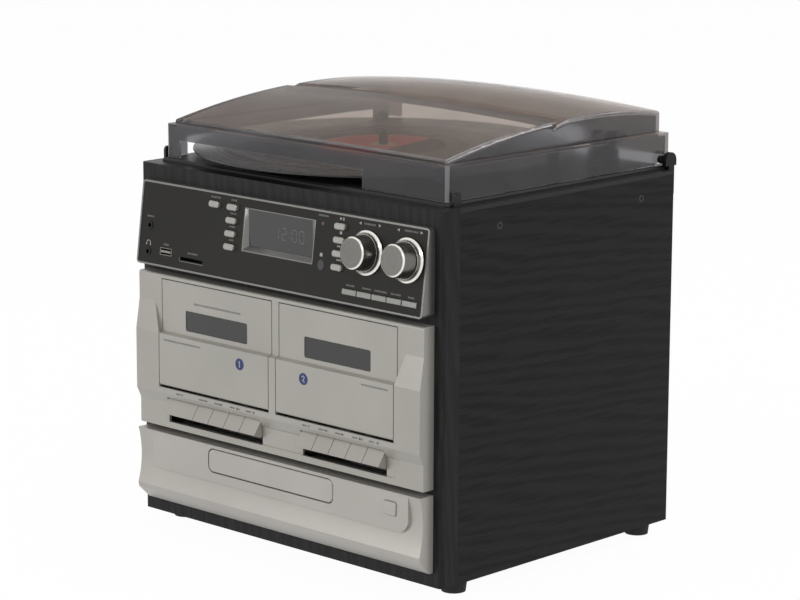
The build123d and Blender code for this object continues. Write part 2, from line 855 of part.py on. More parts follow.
with BuildPart() as tonearm:
    tube_end = counterweight_start + counterweight_length - 2
    with BuildSketch(facing_front(arm_pivot_y + tube_end)):
        with Locations((arm_pivot_offset, arm_z)):
            Circle(arm_tube_radius)
    extrude(amount=arm_length + tube_end - headshell_length)
    # hub in the yoke with its crosswise axle
    with BuildSketch(facing_right(arm_pivot_offset)):
        with Locations((arm_pivot_y, arm_z)):
            Circle(yoke_height / 2 - yoke_wall - running_gap)
    extrude(amount=yoke_width / 2 - yoke_wall - running_gap, both=True)
    with BuildSketch(facing_right(arm_pivot_offset)):
        with Locations((arm_pivot_y, arm_z)):
            Circle(axle_radius)
    extrude(amount=yoke_width / 2, both=True)
    # counterweight
    with BuildSketch(facing_front(arm_pivot_y + counterweight_start + counterweight_length)):
        with Locations((arm_pivot_offset, arm_z)):
            Circle(counterweight_radius)
    extrude(amount=counterweight_length)
    # headshell with finger lift, cartridge and stylus
    with BuildSketch(facing_up(shell_z)):
        with Locations((arm_pivot_offset, head_y + headshell_length / 2)):
            Trapezoid(headshell_length + 4, headshell_width, 80, rotation=90)
        with Locations((arm_pivot_offset + headshell_width / 2, head_y + finger_inset)):
            with Locations((finger_length / 7, 0)):
                SlotOverall(finger_length, finger_width)
    extrude(amount=headshell_thickness)
    with BuildSketch(facing_up(shell_z)):
        with Locations((arm_pivot_offset, head_y + headshell_length / 2)):
            Rectangle(cartridge_width, cartridge_length)
    extrude(amount=-(shell_z - cartridge_bottom))
    with BuildSketch(facing_up(cartridge_bottom)):
        with Locations((arm_pivot_offset, head_y + headshell_length / 3)):
            Rectangle(1.2, 1.2)
    extrude(amount=-1.6)
tonearm.part.label = "tonearm"
export_step(tonearm.part, "parts/tonearm.step")

with BuildPart() as cue_lever:
    with BuildSketch(facing_right(cue_offset)):
        with Locations((cue_y, cue_axis_z)):
            Circle(rest_width / 2 + 0.4)
        lean = math.radians(90 - cue_lever_lean)
        with Locations((cue_y, cue_axis_z)):
            with Locations((cue_lever_length * math.cos(lean), cue_lever_length * math.sin(lean))):
                Circle(rest_width / 2)
        make_hull()
    extrude(amount=rest_width / 2 - running_gap, both=True)
    with BuildSketch(facing_right(cue_offset)):
        with Locations((cue_y, cue_axis_z)):
            Circle(axle_radius)
    extrude(amount=rest_width, both=True)
cue_lever.part.label = "cue_lever"
export_step(cue_lever.part, "parts/cue_lever.step")

with BuildPart() as speed_switch:
    with BuildSketch(facing_up(platform_top + running_gap)):
        with Locations((switch_offset, switch_y)):
            RectangleRounded(switch_width, switch_length, 1.0)
    extrude(amount=switch_height)
    with BuildSketch(facing_up(platform_top + running_gap)):
        with Locations((switch_offset, switch_y)):
            Circle(switch_stem_radius)
    extrude(amount=-(platform_top - top + deck_thickness + 3 * running_gap))
    with BuildSketch(facing_up(top - deck_thickness - running_gap)):
        with Locations((switch_offset, switch_y)):
            Circle(2 * switch_stem_radius)
    extrude(amount=-1.5)
speed_switch.part.label = "speed_switch"
export_step(speed_switch.part, "parts/speed_switch.step")

# ---------------------------------------------------------------- dust cover

# stretches of the dome as (depth, rise of the side edge, crown), front to back
channel_back_y = channel_y + channel_width
dome_front = [
    (cover_front_y + dome_inset, dome_front_rise, crown_front),
    (dome_kink_y, dome_kink_rise, crown_kink),
    (channel_y, channel_front_rise, crown_channel),
]
dome_channel = [
    (channel_y, channel_front_rise - channel_depth, crown_channel),
    (channel_back_y, channel_back_rise, crown_channel),
]
dome_back = [
    (channel_back_y, channel_back_rise, crown_channel),
    (dome_top_y, dome_top_rise, crown_top),
    (cover_back_y - dome_inset, dome_back_rise, crown_back),
]

with BuildPart() as dust_cover:
    for shrink, mode in ((0, Mode.ADD), (cover_wall, Mode.SUBTRACT)):
        # skirt, with its lower rear corners cut away so that it can tip up
        with BuildSketch(facing_right(0)):
            with BuildLine():
                Polyline(
                    (cover_front_y + shrink, cover_base - shrink),
                    (cover_front_y + shrink, skirt_top - shrink),
                    (cover_back_y - shrink, skirt_back - shrink),
                    (cover_back_y - shrink, cover_base + tip_height - shrink),
                    (cover_back_y - tip_length, cover_base - shrink),
                    close=True,
                )
            make_face()
        extrude(amount=cover_half_width - shrink, both=True, mode=mode)
        # dome, loft by loft; the inside of each stops a wall short of the step at the channel
        for stretch in (dome_front, dome_channel, dome_back):
            for depth, rise, crown in stretch:
                shift = 0.0
                if depth < dome_kink_y:
                    shift = shrink
                elif depth == channel_y or depth > dome_top_y:
                    shift = -shrink
                shoulder = skirt_top + rise - shrink
                half = cover_half_width - dome_inset - shrink
                with BuildSketch(facing_front(depth + shift)) as dome_section:
                    with BuildLine():
                        Polyline(
                            (-half, shoulder),
                            (-half, skirt_back - cover_wall),
                            (half, skirt_back - cover_wall),
                            (half, shoulder),
                        )
                        ThreePointArc((-half, shoulder), (0, shoulder + crown), (half, shoulder))
                    make_face()
                    fillet(dome_section.vertices().group_by(Axis.Y)[-1], dome_round)
            loft(ruled=len(stretch) < 3, mode=mode)
        if mode == Mode.ADD:
            upright = edges().filter_by(Axis.Z).filter_by(lambda e: e.length > skirt_front_height / 2)
            fillet(upright.group_by(Axis.Y)[0], cover_corner)
    # openings for a record that is wider than the cover
    with BuildSketch(facing_front(cover_front_y)) as front_cut:
        with Locations((platter_offset, cover_base + cutout_rise / 2)):
            Rectangle(2 * cutout_half_width, cutout_rise)
        fillet(front_cut.vertices().group_by(Axis.Y)[-1], cutout_corner)
    extrude(amount=-2 * cover_wall, mode=Mode.SUBTRACT)
    with BuildSketch(facing_right(-cover_half_width)) as side_cut:
        with Locations((platter_y, cover_base + cutout_rise / 2)):
            Rectangle(2 * side_cutout_half_length, cutout_rise)
        fillet(side_cut.vertices().group_by(Axis.Y)[-1], cutout_corner)
    extrude(amount=2 * cover_wall, mode=Mode.SUBTRACT)
    with BuildSketch(facing_front(cover_back_y)) as back_cut:
        back_cut_top = skirt_back - cover_wall - back_cutout_drop
        with Locations((platter_offset, (cover_base + back_cut_top) / 2)):
            Rectangle(2 * cutout_half_width, back_cut_top - cover_base)
        fillet(back_cut.vertices().group_by(Axis.Y)[-1], cutout_corner)
    extrude(amount=2 * cover_wall, both=True, mode=Mode.SUBTRACT)
dust_cover.part.label = "dust_cover"
export_step(dust_cover.part, "parts/dust_cover.step")

ear_inner = cover_half_width + hinge_plate_thickness + running_gap
ear_outer = ear_inner + hinge_ear_thickness

with BuildPart() as hinge_arms:
    for side in (-1, 1):
        with BuildSketch(facing_right(side * cover_half_width)):
            with Locations((hinge_y, hinge_z)):
                Circle(hinge_rise)
            with Locations((hinge_y - hinge_strap_length, hinge_z + 1)):
                Circle(hinge_rise - 0.5)
            make_hull()
        extrude(amount=side * hinge_plate_thickness)
        with BuildSketch(facing_right(side * (cover_half_width + hinge_plate_thickness))):
            with Locations((hinge_y, hinge_z)):
                Circle(hinge_pin_radius)
        extrude(amount=side * (running_gap + hinge_ear_thickness))
hinge_arms.part.label = "hinge_arms"
export_step(hinge_arms.part, "parts/hinge_arms.step")

with BuildPart() as hinge_brackets:
    bracket_inner = ear_outer - hinge_bracket_width
    bracket_top = platform_top - running_gap
    for side in (-1, 1):
        with BuildSketch(facing_up(bracket_top)):
            with Locations(
                (side * (bracket_inner + ear_outer) / 2, cabinet_depth + hinge_bracket_thickness / 2)
            ):
                Rectangle(hinge_bracket_width, hinge_bracket_thickness)
        extrude(amount=-(hinge_bracket_height - hinge_rise))
        with BuildSketch(facing_right(side * ear_inner)):
            with Locations((hinge_y, hinge_z)):
                Circle(hinge_ear_radius)
            with Locations((hinge_y, (bracket_top + hinge_z) / 2)):
                Rectangle(2 * hinge_ear_radius, hinge_z - bracket_top)
            with Locations((cabinet_depth + hinge_bracket_thickness / 2, bracket_top)):
                Rectangle(hinge_bracket_thickness, 2 * hinge_rise)
            with Locations((hinge_y, bracket_top - hinge_ear_radius)):
                Rectangle(4 * hinge_ear_radius, 2 * hinge_ear_radius, mode=Mode.SUBTRACT)
            with Locations((hinge_y, hinge_z)):
                Circle(hinge_pin_radius + hinge_pin_gap, mode=Mode.SUBTRACT)
        extrude(amount=side * hinge_ear_thickness)
hinge_brackets.part.label = "hinge_brackets"
export_step(hinge_brackets.part, "parts/hinge_brackets.step")

# ---------------------------------------------------------------- control panel

plate_front = -plate_recess
plate_back = plate_front - face_plate
board_front = -control_board_gap
pill_buttons = [("standby_button", single_button_x, button_row_top)]
for row in range(4):
    rise = button_row_top - row * button_row_pitch
    pill_buttons.append((f"mode_button_{row + 1}", left_buttons_x, rise))
for row, name in enumerate(("play_button", "stop_button", "skip_back_button", "skip_forward_button")):
    pill_buttons.append((name, right_buttons_x, button_row_top - row * button_row_pitch))
pill_places = [(x, rise) for name, x, rise in pill_buttons]
strip_places = [(strip_x + (n - 2) * strip_pitch, strip_rise) for n in range(5)]
knob_places = [(knob_left_x, knob_rise), (knob_right_x, knob_rise)]
jack_places = [(jack_x, aux_rise), (jack_x, headphone_rise)]
boss_places = [(jack_x + boss_reach + n * boss_stagger, rise) for n, rise in enumerate(left_boss_rises)]
boss_places += [((knob_left_x + knob_right_x) / 2, rise) for rise in right_boss_rises]


def panel_y(z, outward):
    """Depth, at height z, of the panel's face moved outward."""
    climb = z - base - control_bottom
    return -control_bottom_depth + climb * lean_sine / lean_cosine - outward / lean_cosine


with BuildPart() as panel_surround:
    with BuildSketch(facing_right(0)):
        with BuildLine():
            Polyline(
                (0, base + control_bottom),
                (-control_bottom_depth, base + control_bottom),
                (-control_top_depth, base + control_top),
                (0, base + control_top),
                close=True,
            )
        make_face()
    extrude(amount=half_panel, both=True)
    fillet(edges().filter_by(Axis.Y), surround_corner)
    with BuildSketch(on_panel()):
        with Locations((0, control_length / 2)):
            inner_corner = surround_corner - surround_rim
            plate_length = control_length - 2 * surround_rim
            RectangleRounded(panel_width - 2 * surround_rim, plate_length, inner_corner)
    extrude(amount=plate_back, mode=Mode.SUBTRACT)
    with BuildSketch(on_panel()):
        with Locations((0, control_length / 2)):
            Rectangle(panel_width - 2 * surround_wall, control_length - 2 * surround_wall)
    extrude(amount=-2 * control_bottom_depth, mode=Mode.SUBTRACT)
panel_surround.part.label = "panel_surround"
export_step(panel_surround.part, "parts/panel_surround.step")

with BuildPart() as control_panel:
    with BuildSketch(on_panel(plate_front)):
        with Locations((0, control_length / 2)):
            margin = 2 * (surround_rim + fit_gap)
            RectangleRounded(panel_width - margin, control_length - margin, inner_corner)
        with Locations(*pill_places):
            RectangleRounded(
                pill_width + 2 * button_gap,
                pill_height + 2 * button_gap,
                pill_corner + button_gap,
                mode=Mode.SUBTRACT,
            )
        with Locations((strip_x, strip_rise)):
            strip_length = 4 * strip_pitch + strip_button_width + 2 * button_gap
            Rectangle(strip_length, strip_button_height + 2 * button_gap, mode=Mode.SUBTRACT)
        with Locations(*knob_places):
            Circle(knob_shaft_radius + button_gap, mode=Mode.SUBTRACT)
        with Locations((display_x, display_rise)):
            Rectangle(display_width + 2 * fit_gap, display_height + 2 * fit_gap, mode=Mode.SUBTRACT)
        with Locations(*jack_places):
            Circle(jack_radius + fit_gap, mode=Mode.SUBTRACT)
        with Locations((usb_x, usb_rise)):
            Rectangle(usb_width + 2 * fit_gap, usb_height + 2 * fit_gap, mode=Mode.SUBTRACT)
        with Locations((card_x, card_rise)):
            Rectangle(card_width + 2 * fit_gap, card_height + 2 * fit_gap, mode=Mode.SUBTRACT)
        with Locations((infrared_x, infrared_rise)):
            Ellipse(
                infrared_width / 2 + fit_gap, infrared_height / 2 + fit_gap, mode=Mode.SUBTRACT
            )
    extrude(amount=-face_plate)
    # pillars that carry the control board
    with BuildSketch(on_panel(plate_back)):
        with Locations(*boss_places):
            Circle(boss_radius)
    extrude(amount=board_front - plate_back)
control_panel.part.label = "control_panel"
export_step(control_panel.part, "parts/control_panel.step")

glass_centre_z = base + (glass_bottom + glass_top) / 2
glass_height = glass_top - glass_bottom
glass_back = -glass_depth + glass_thickness

with BuildPart() as display_bezel:
    # a block that fills the opening, from the panel's face back to an upright plane
    with BuildSketch(on_panel(plate_front)):
        with Locations((display_x, display_rise)):
            Rectangle(display_width, display_height)
    extrude(amount=-control_board_gap)
    split(bisect_by=facing_front(glass_back), keep=Keep.TOP)
    # sloping walls from the opening down to the glass
    with BuildSketch(on_panel(plate_front)):
        with Locations((display_x, display_rise)):
            Rectangle(display_width - 2 * bezel_rim, display_height - 2 * bezel_rim)
    with BuildSketch(facing_front(-glass_depth)):
        with Locations((display_x, glass_centre_z)):
            Rectangle(glass_width, glass_height)
    loft(ruled=True, mode=Mode.SUBTRACT)
    # seat for the glass, open at the back
    with BuildSketch(facing_front(-glass_depth)):
        with Locations((display_x, glass_centre_z)):
            Rectangle(glass_width + 2 * bezel_wall, glass_height)
        with Locations((display_x, glass_centre_z - bezel_wall)):
            Rectangle(glass_width, glass_height)
    extrude(amount=-2 * glass_thickness, mode=Mode.SUBTRACT)
display_bezel.part.label = "display_bezel"
export_step(display_bezel.part, "parts/display_bezel.step")

with BuildPart() as display_lens:
    with BuildSketch(facing_front(-glass_depth)):
        with Locations((display_x, glass_centre_z)):
            Rectangle(glass_width + 2 * (bezel_wall - fit_gap), glass_height - 2 * fit_gap)
    extrude(amount=-glass_thickness)
    # window in front of the remote control receiver
    with BuildSketch(on_panel(plate_front)):
        with Locations((infrared_x, infrared_rise)):
            Ellipse(infrared_width / 2, infrared_height / 2)
    extrude(amount=-face_plate)
display_lens.part.label = "display_lens"
export_step(display_lens.part, "parts/display_lens.step")

with BuildPart() as front_sockets:
    # two jack sockets
    with BuildSketch(on_panel(plate_front + jack_proud)):
        with Locations(*jack_places):
            Circle(jack_radius)
    extrude(amount=-(jack_proud + face_plate))
    with BuildSketch(on_panel(plate_back)):
        with Locations(*jack_places):
            Rectangle(2.4 * jack_radius, 2.4 * jack_radius)
    extrude(amount=-(jack_length - face_plate))
    with BuildSketch(on_panel(plate_front + jack_proud)):
        with Locations(*jack_places):
            Circle(jack_bore_radius)
    extrude(amount=-(jack_length + jack_proud - usb_wall), mode=Mode.SUBTRACT)
    # USB shell with its tongue
    with BuildSketch(on_panel(plate_front)):
        with Locations((usb_x, usb_rise)):
            Rectangle(usb_width, usb_height)
    extrude(amount=-socket_depth)
    with BuildSketch(on_panel(plate_front)):
        with Locations((usb_x, usb_rise)):
            Rectangle(usb_width - 2 * usb_wall, usb_height - 2 * usb_wall)
            Rectangle(usb_width - 2, 1.8, mode=Mode.SUBTRACT)
    extrude(amount=-(socket_depth - 1), mode=Mode.SUBTRACT)
    # memory card socket
    with BuildSketch(on_panel(plate_front)):
        with Locations((card_x, card_rise)):
            Rectangle(card_width, card_height)
            Rectangle(card_width - 1, card_slot_height, mode=Mode.SUBTRACT)
    extrude(amount=-(socket_depth - 1))
    with BuildSketch(on_panel(plate_front - socket_depth + 1)):
        with Locations((card_x, card_rise)):
            Rectangle(card_width, card_height)
    extrude(amount=-1)
front_sockets.part.label = "front_sockets"
export_step(front_sockets.part, "parts/front_sockets.step")

for name, x, rise in pill_buttons:
    with BuildPart() as pill:
        with BuildSketch(on_panel(plate_back - button_float)):
            with Locations((x, rise)):
                RectangleRounded(pill_width, pill_height, pill_corner)
        extrude(amount=face_plate + button_float + button_proud)
        chamfer(faces().sort_by(Axis((0, 0, 0), tuple(on_panel().z_dir)))[-1].edges(), button_edge)
        with BuildSketch(on_panel(plate_back - button_float)):
            with Locations((x, rise)):
                Rectangle(pill_width + 2 * button_flange, pill_height + 2 * button_flange)
        extrude(amount=-button_flange)
        with BuildSketch(on_panel(plate_back - button_float)):
            with Locations((x, rise)):
                Rectangle(plunger_width, plunger_width)
        extrude(amount=-(plate_back - button_float - board_front - switch_rise - button_play))
    pill.part.label = name
    export_step(pill.part, f"parts/{name}.step")

for number, (x, rise) in enumerate(strip_places, start=1):
    with BuildPart() as preset:
        with BuildSketch(on_panel(plate_back - button_float)):
            with Locations((x, rise)):
                Rectangle(strip_button_width, strip_button_height)
        extrude(amount=face_plate + button_float + strip_button_proud)
        front_face = faces().sort_by(Axis((0, 0, 0), tuple(on_panel().z_dir)))[-1]
        chamfer(front_face.edges(), button_edge / 2)
        with BuildSketch(on_panel(plate_back - button_float)):
            with Locations((x, rise)):
                Rectangle(strip_button_width, strip_button_height + 2 * button_flange)
        extrude(amount=-button_flange)
        with BuildSketch(on_panel(plate_back - button_float)):
            with Locations((x, rise)):
                Rectangle(plunger_width, plunger_width)
        extrude(amount=-(plate_back - button_float - board_front - switch_rise - button_play))
    preset.part.label = f"preset_button_{number}"
    export_step(preset.part, f"parts/preset_button_{number}.step")

for name, (x, rise) in zip(("tuning_knob", "volume_knob"), knob_places):
    with BuildPart() as knob:
        face = on_panel(plate_front)
        section = Plane(origin=face.from_local_coords((x, rise, 0)), x_dir=(1, 0, 0), z_dir=-face.y_dir)
        with BuildSketch(section):
            with BuildLine():
                Polyline(
                    (0, -shaft_reach),
                    (knob_shaft_radius, -shaft_reach),
                    (knob_shaft_radius, knob_lift),
                    (knob_skirt_radius, knob_lift),
                    (knob_skirt_radius, knob_lift + knob_skirt_height / 2),
                    (knob_step_radius + 0.6, knob_lift + knob_skirt_height),
                    (knob_step_radius, knob_lift + knob_skirt_height),
                    (knob_step_radius - 0.5, knob_lift + 2 * knob_skirt_height),
                    (knob_base_radius + 0.4, knob_lift + 2 * knob_skirt_height),
                    (knob_base_radius + 0.4, knob_lift + 1.6 * knob_skirt_height),
                    (knob_base_radius, knob_lift + 1.6 * knob_skirt_height),
                    (knob_cap_radius, knob_lift + knob_height - knob_edge),
                    (knob_cap_radius - knob_edge, knob_lift + knob_height),
                    (0, knob_lift + knob_height),
                    close=True,
                )
            make_face()
        revolve(axis=Axis(section.origin, face.z_dir))
    knob.part.label = name
    export_step(knob.part, f"parts/{name}.step")

# ---------------------------------------------------------------- cassette decks


def tape_profile(back):
    """Side outline of the cassette fascia, closed at the given depth."""
    return (
        (back, base + tape_bottom),
        (-tape_depth, base + tape_bottom),
        (-tape_depth, base + band_foot),
        (-band_depth, base + band_bottom),
        (-band_depth, base + band_top),
        (-tape_depth, base + band_top + pocket_lip),
        (-tape_depth, base + tape_top),
        (back, base + tape_top),
    )


door_places = [-door_offset, door_offset]
door_axis_y = -band_depth + door_pin_back
door_axis_z = base + door_bottom + door_pin_rise
opening_half = door_width / 2 + door_gap
key_banks = [
    (key_bank_1_x, (2, 1, 1, 1, 1)),
    (key_bank_2_x, (1, 1, 1, 1, 1)),
]

with BuildPart() as tape_fascia:
    with BuildSketch(facing_right(0)):
        with BuildLine():
            Polyline(*tape_profile(0), close=True)
        make_face()
    extrude(amount=half_panel, both=True)
    fillet(edges().filter_by(Axis.X).group_by(Axis.Z)[-1].group_by(Axis.Y)[0], fascia_round)
    # facets that lead from the flat margins down to the raised band
    for side in (-1, 1):
        with BuildSketch(facing_front(-tape_depth)):
            with BuildLine():
                Polyline(
                    (side * half_panel, base + band_top - pocket_lip),
                    (side * half_panel, base + facet_top),
                    (side * (half_panel - facet_width), base + facet_top),
                    (side * (half_panel - facet_width - facet_taper), base + band_top),
                    (side * (half_panel - facet_width - facet_taper), base + band_top - pocket_lip),
                    close=True,
                )
            make_face()
        extrude(amount=band_depth - tape_depth)
    with BuildSketch(facing_right(0)):
        with BuildLine():
            Polyline(
                (-tape_depth, base + facet_top),
                (-band_depth, base + band_top),
                (-2 * band_depth, base + band_top),
                (-2 * band_depth, base + facet_top),
                close=True,
            )
        make_face()
    extrude(amount=half_panel, both=True, mode=Mode.SUBTRACT)
    # hollow back
    with BuildSketch(facing_right(0)):
        with BuildLine():
            Polyline(*tape_profile(2 * fascia_wall), close=True)
        make_face()
        offset(amount=-fascia_wall, kind=Kind.INTERSECTION, mode=Mode.REPLACE)
    extrude(amount=half_panel - fascia_wall, both=True, mode=Mode.SUBTRACT)
    # bearings for the door pins, on both sides of each door
    for x in door_places:
        for side in (-1, 1):
            with BuildSketch(facing_right(x + side * opening_half)):
                with Locations((door_axis_y, door_axis_z)):
                    Circle(2 * door_pin_radius)
                with Locations((door_axis_y - door_pin_radius, door_axis_z)):
                    Rectangle(2 * door_pin_radius, 4 * door_pin_radius)
            extrude(amount=side * (door_offset - opening_half))
    # door openings and key openings
    with BuildSketch(facing_front(-band_depth)):
        with Locations(*[(x, 0) for x in door_places]):
            low = base + door_bottom - door_bottom_gap
            high = base + door_top + door_gap
            with Locations((0, (low + high) / 2)):
                Rectangle(2 * opening_half, high - low)
        for bank_x, widths in key_banks:
            with Locations((bank_x, base + (keys_bottom + keys_top) / 2)):
                Rectangle(sum(widths) * key_pitch, keys_top - keys_bottom + key_gap)
    extrude(amount=-band_depth, mode=Mode.SUBTRACT)
    for x in door_places:
        with BuildSketch(facing_right(x)):
            with Locations((door_axis_y, door_axis_z)):
                Circle(door_pin_radius + key_rod_gap)
        extrude(amount=opening_half + door_pin_length - door_gap + fit_gap, both=True, mode=Mode.SUBTRACT)
    # shallow recesses that carry the line of the keys across the front
    with BuildSketch(facing_front(-tape_depth)):
        bank_1_end = key_bank_1_x + sum(key_banks[0][1]) * key_pitch / 2
        bank_2_start = key_bank_2_x - sum(key_banks[1][1]) * key_pitch / 2
        bank_2_end = key_bank_2_x + sum(key_banks[1][1]) * key_pitch / 2
        with BuildLine():
            Polyline(
                (bank_1_end, base + keys_bottom),
                (bank_1_end, base + keys_top - 2 * key_recess),
                (bank_2_start, base + keys_top - 2 * key_recess),
                (bank_2_start, base + keys_bottom),
                close=True,
            )
        make_face()
        with BuildLine():
            Polyline(
                (bank_2_end, base + keys_bottom),
                (bank_2_end, base + keys_top - 2 * key_recess),
                (bank_2_end + recess_length + recess_slant, base + keys_top - 2 * key_recess),
                (bank_2_end + recess_length, base + keys_bottom),
                close=True,
            )
        make_face()
    extrude(amount=-key_recess, mode=Mode.SUBTRACT)
tape_fascia.part.label = "tape_fascia"
export_step(tape_fascia.part, "parts/tape_fascia.step")

for number, x in enumerate(door_places, start=1):
    with BuildPart() as door:
        # front skin: a deep tray below, a flat plate above
        with BuildSketch(facing_right(x)):
            with BuildLine():
                Polyline(
                    (-tape_depth + door_wall, base + door_bottom),
                    (-band_depth, base + door_bottom),
                    (-band_depth, base + band_top),
                    (-tape_depth, base + band_top + pocket_lip),
                    (-tape_depth, base + door_top),
                    (-tape_depth + door_wall, base + door_top),
                    close=True,
                )
            make_face()
        extrude(amount=door_width / 2, both=True)
        fillet(edges().filter_by(Axis.X).group_by(Axis.Z)[0].group_by(Axis.Y)[0], door_foot_round)
        with BuildSketch(facing_front(-tape_depth + door_wall)):
            with Locations((x, base + (door_bottom + band_top) / 2)):
                Rectangle(door_width - 2 * door_wall, band_top - door_bottom - 2 * door_wall)
        extrude(amount=band_depth - tape_depth, mode=Mode.SUBTRACT)
        # window opening with a seat for the lens
        with BuildSketch(facing_front(-tape_depth)):
            with Locations((x, base + door_window_bottom + door_window_height / 2)):
                RectangleRounded(door_window_width, door_window_height, door_pin_radius)
        extrude(amount=-door_wall, mode=Mode.SUBTRACT)
        # cassette holder: two cheeks, lips behind the cassette and a shelf in two halves
        for side in (-1, 1):
            inner = side * cassette_width / 2
            outer = side * (cassette_width / 2 + holder_wall)
            with BuildSketch(facing_up(base + door_bottom)):
                with BuildLine():
                    Polyline(
                        (x + inner, -tape_depth + door_wall),
                        (x + outer, -tape_depth + door_wall),
                        (x + outer, holder_back),
                        (x + inner - side * holder_lip, holder_back),
                        (x + inner - side * holder_lip, holder_back - holder_wall),
                        (x + inner, holder_back - holder_wall),
                        close=True,
                    )
                make_face()
            extrude(amount=holder_height)
            with BuildSketch(facing_up(base + door_bottom)):
                shelf_depth = holder_back + band_depth - door_wall
                with Locations((x + inner - side * shelf_width / 2, holder_back - shelf_depth / 2)):
                    Rectangle(shelf_width, shelf_depth)
            extrude(amount=door_wall)
            # pivot pin
            with BuildSketch(facing_right(x + side * door_width / 2)):
                with Locations((door_axis_y, door_axis_z)):
                    Circle(door_pin_radius)
            extrude(amount=side * door_pin_length)
        # wall behind the pins, so that they grow out of a full cheek
        with BuildSketch(facing_up(base + door_bottom)):
            with Locations(
                (x - (door_width - door_wall) / 2, door_axis_y),
                (x + (door_width - door_wall) / 2, door_axis_y),
            ):
                Rectangle(door_wall, 4 * door_pin_radius)
        extrude(amount=door_pin_rise + 2 * door_pin_radius)
        # clear window
        with BuildSketch(facing_front(-tape_depth + lens_inset)):
            with Locations((x, base + door_window_bottom + door_window_height / 2)):
                RectangleRounded(
                    door_window_width - 2 * fit_gap,
                    door_window_height - 2 * fit_gap,
                    door_pin_radius - fit_gap,
                )
        extrude(amount=-lens_thickness)
    door.part.label = f"cassette_door_{number}"
    export_step(door.part, f"parts/cassette_door_{number}.step")

key_names = (
    ("play", "rewind", "forward", "stop", "pause"),
    ("play", "rewind", "forward", "stop", "pause"),
)
key_axis_z = base + key_axis_rise

for deck, ((bank_x, widths), names) in enumerate(zip(key_banks, key_names), start=1):
    left = bank_x - sum(widths) * key_pitch / 2
    for width, name in zip(widths, names):
        with BuildPart() as key:
            middle = left + width * key_pitch / 2
            with BuildSketch(facing_right(middle)):
                with BuildLine():
                    Polyline(
                        (-tape_depth - key_gap, base + keys_top - key_gap / 2),
                        (-tape_depth - key_proud, base + key_face_bottom),
                        (-tape_depth - key_proud + key_face_depth, base + key_root_bottom),
                        (key_axis_y, key_axis_z - key_boss_radius),
                        (key_axis_y, key_axis_z + key_boss_radius),
                        (-tape_depth + 2 * fascia_wall, base + keys_top - key_gap / 2),
                        close=True,
                    )
                make_face()
                with Locations((key_axis_y, key_axis_z)):
                    Circle(key_boss_radius)
                    Circle(key_rod_radius + key_rod_gap, mode=Mode.SUBTRACT)
            extrude(amount=(width * key_pitch - key_gap) / 2, both=True)
            chamfer(edges().filter_by(Axis.X).group_by(Axis.Y)[0], key_gap)
        label = f"deck_{deck}_{name}_key"
        key.part.label = label
        export_step(key.part, f"parts/{label}.step")
        left += width * key_pitch

with BuildPart() as tape_mechanism:
    # folded chassis pan behind the fascia
    with BuildSketch(facing_front(frame_wall)):
        with Locations((0, base + (chassis_bottom + chassis_top) / 2)):
            Rectangle(chassis_width, chassis_top - chassis_bottom)
    extrude(amount=-(chassis_y + chassis_sheet - frame_wall))
    with BuildSketch(facing_front(frame_wall)):
        with Locations((0, base + (chassis_bottom + chassis_top) / 2)):
            pan_height = chassis_top - chassis_bottom - 2 * chassis_sheet
            Rectangle(chassis_width - 2 * chassis_sheet, pan_height)
    extrude(amount=-(chassis_y - frame_wall), mode=Mode.SUBTRACT)
    # rod that the keys turn on
    with BuildSketch(facing_right(0)):
        with Locations((key_axis_y, key_axis_z)):
            Circle(key_rod_radius)
    extrude(amount=chassis_width / 2, both=True)
    # reel spindles, capstan, head bar and head for each deck
    for x in door_places:
        with BuildSketch(facing_front(chassis_y)):
            with Locations((x, base + door_bottom + reel_rise)):
                with GridLocations(reel_spacing, 1, 2, 1):
                    Circle(reel_radius)
                    with PolarLocations(reel_radius, 3):
                        Rectangle(1.6, 1.2)
        extrude(amount=chassis_y - reel_end_y)
        head_bar_top = base + door_bottom - door_bottom_gap - 3
        with BuildSketch(facing_up(head_bar_top)):
            with Locations((x, (chassis_y + head_bar_front) / 2)):
                Rectangle(6 * head_width, chassis_y - head_bar_front)
        extrude(amount=-chassis_sheet)
        with BuildSketch(facing_up(head_bar_top)):
            with Locations((x, head_bar_front + head_width / 3)):
                Rectangle(head_width, head_width / 2)
            with Locations((x + 2 * head_width, head_bar_front + head_width / 3)):
                Circle(head_width / 3)
        extrude(amount=3)
tape_mechanism.part.label = "tape_mechanism"
export_step(tape_mechanism.part, "parts/tape_mechanism.step")

# ---------------------------------------------------------------- CD player

drawer_centre_z = base + drawer_bottom + drawer_height / 2
plateau_top = cd_top - fascia_round / 2


def cd_outline(back):
    """Side outline of the CD fascia as straight points, from the waist round to the back."""
    return (
        (-cd_top_depth, base + cd_top),
        (back, base + cd_top),
        (back, base + cd_bottom),
        (-cd_foot_depth, base + cd_bottom),
        (-cd_crease_depth + 0.8, base + cd_crease - 4),
        (-cd_crease_depth, base + cd_crease),
    )


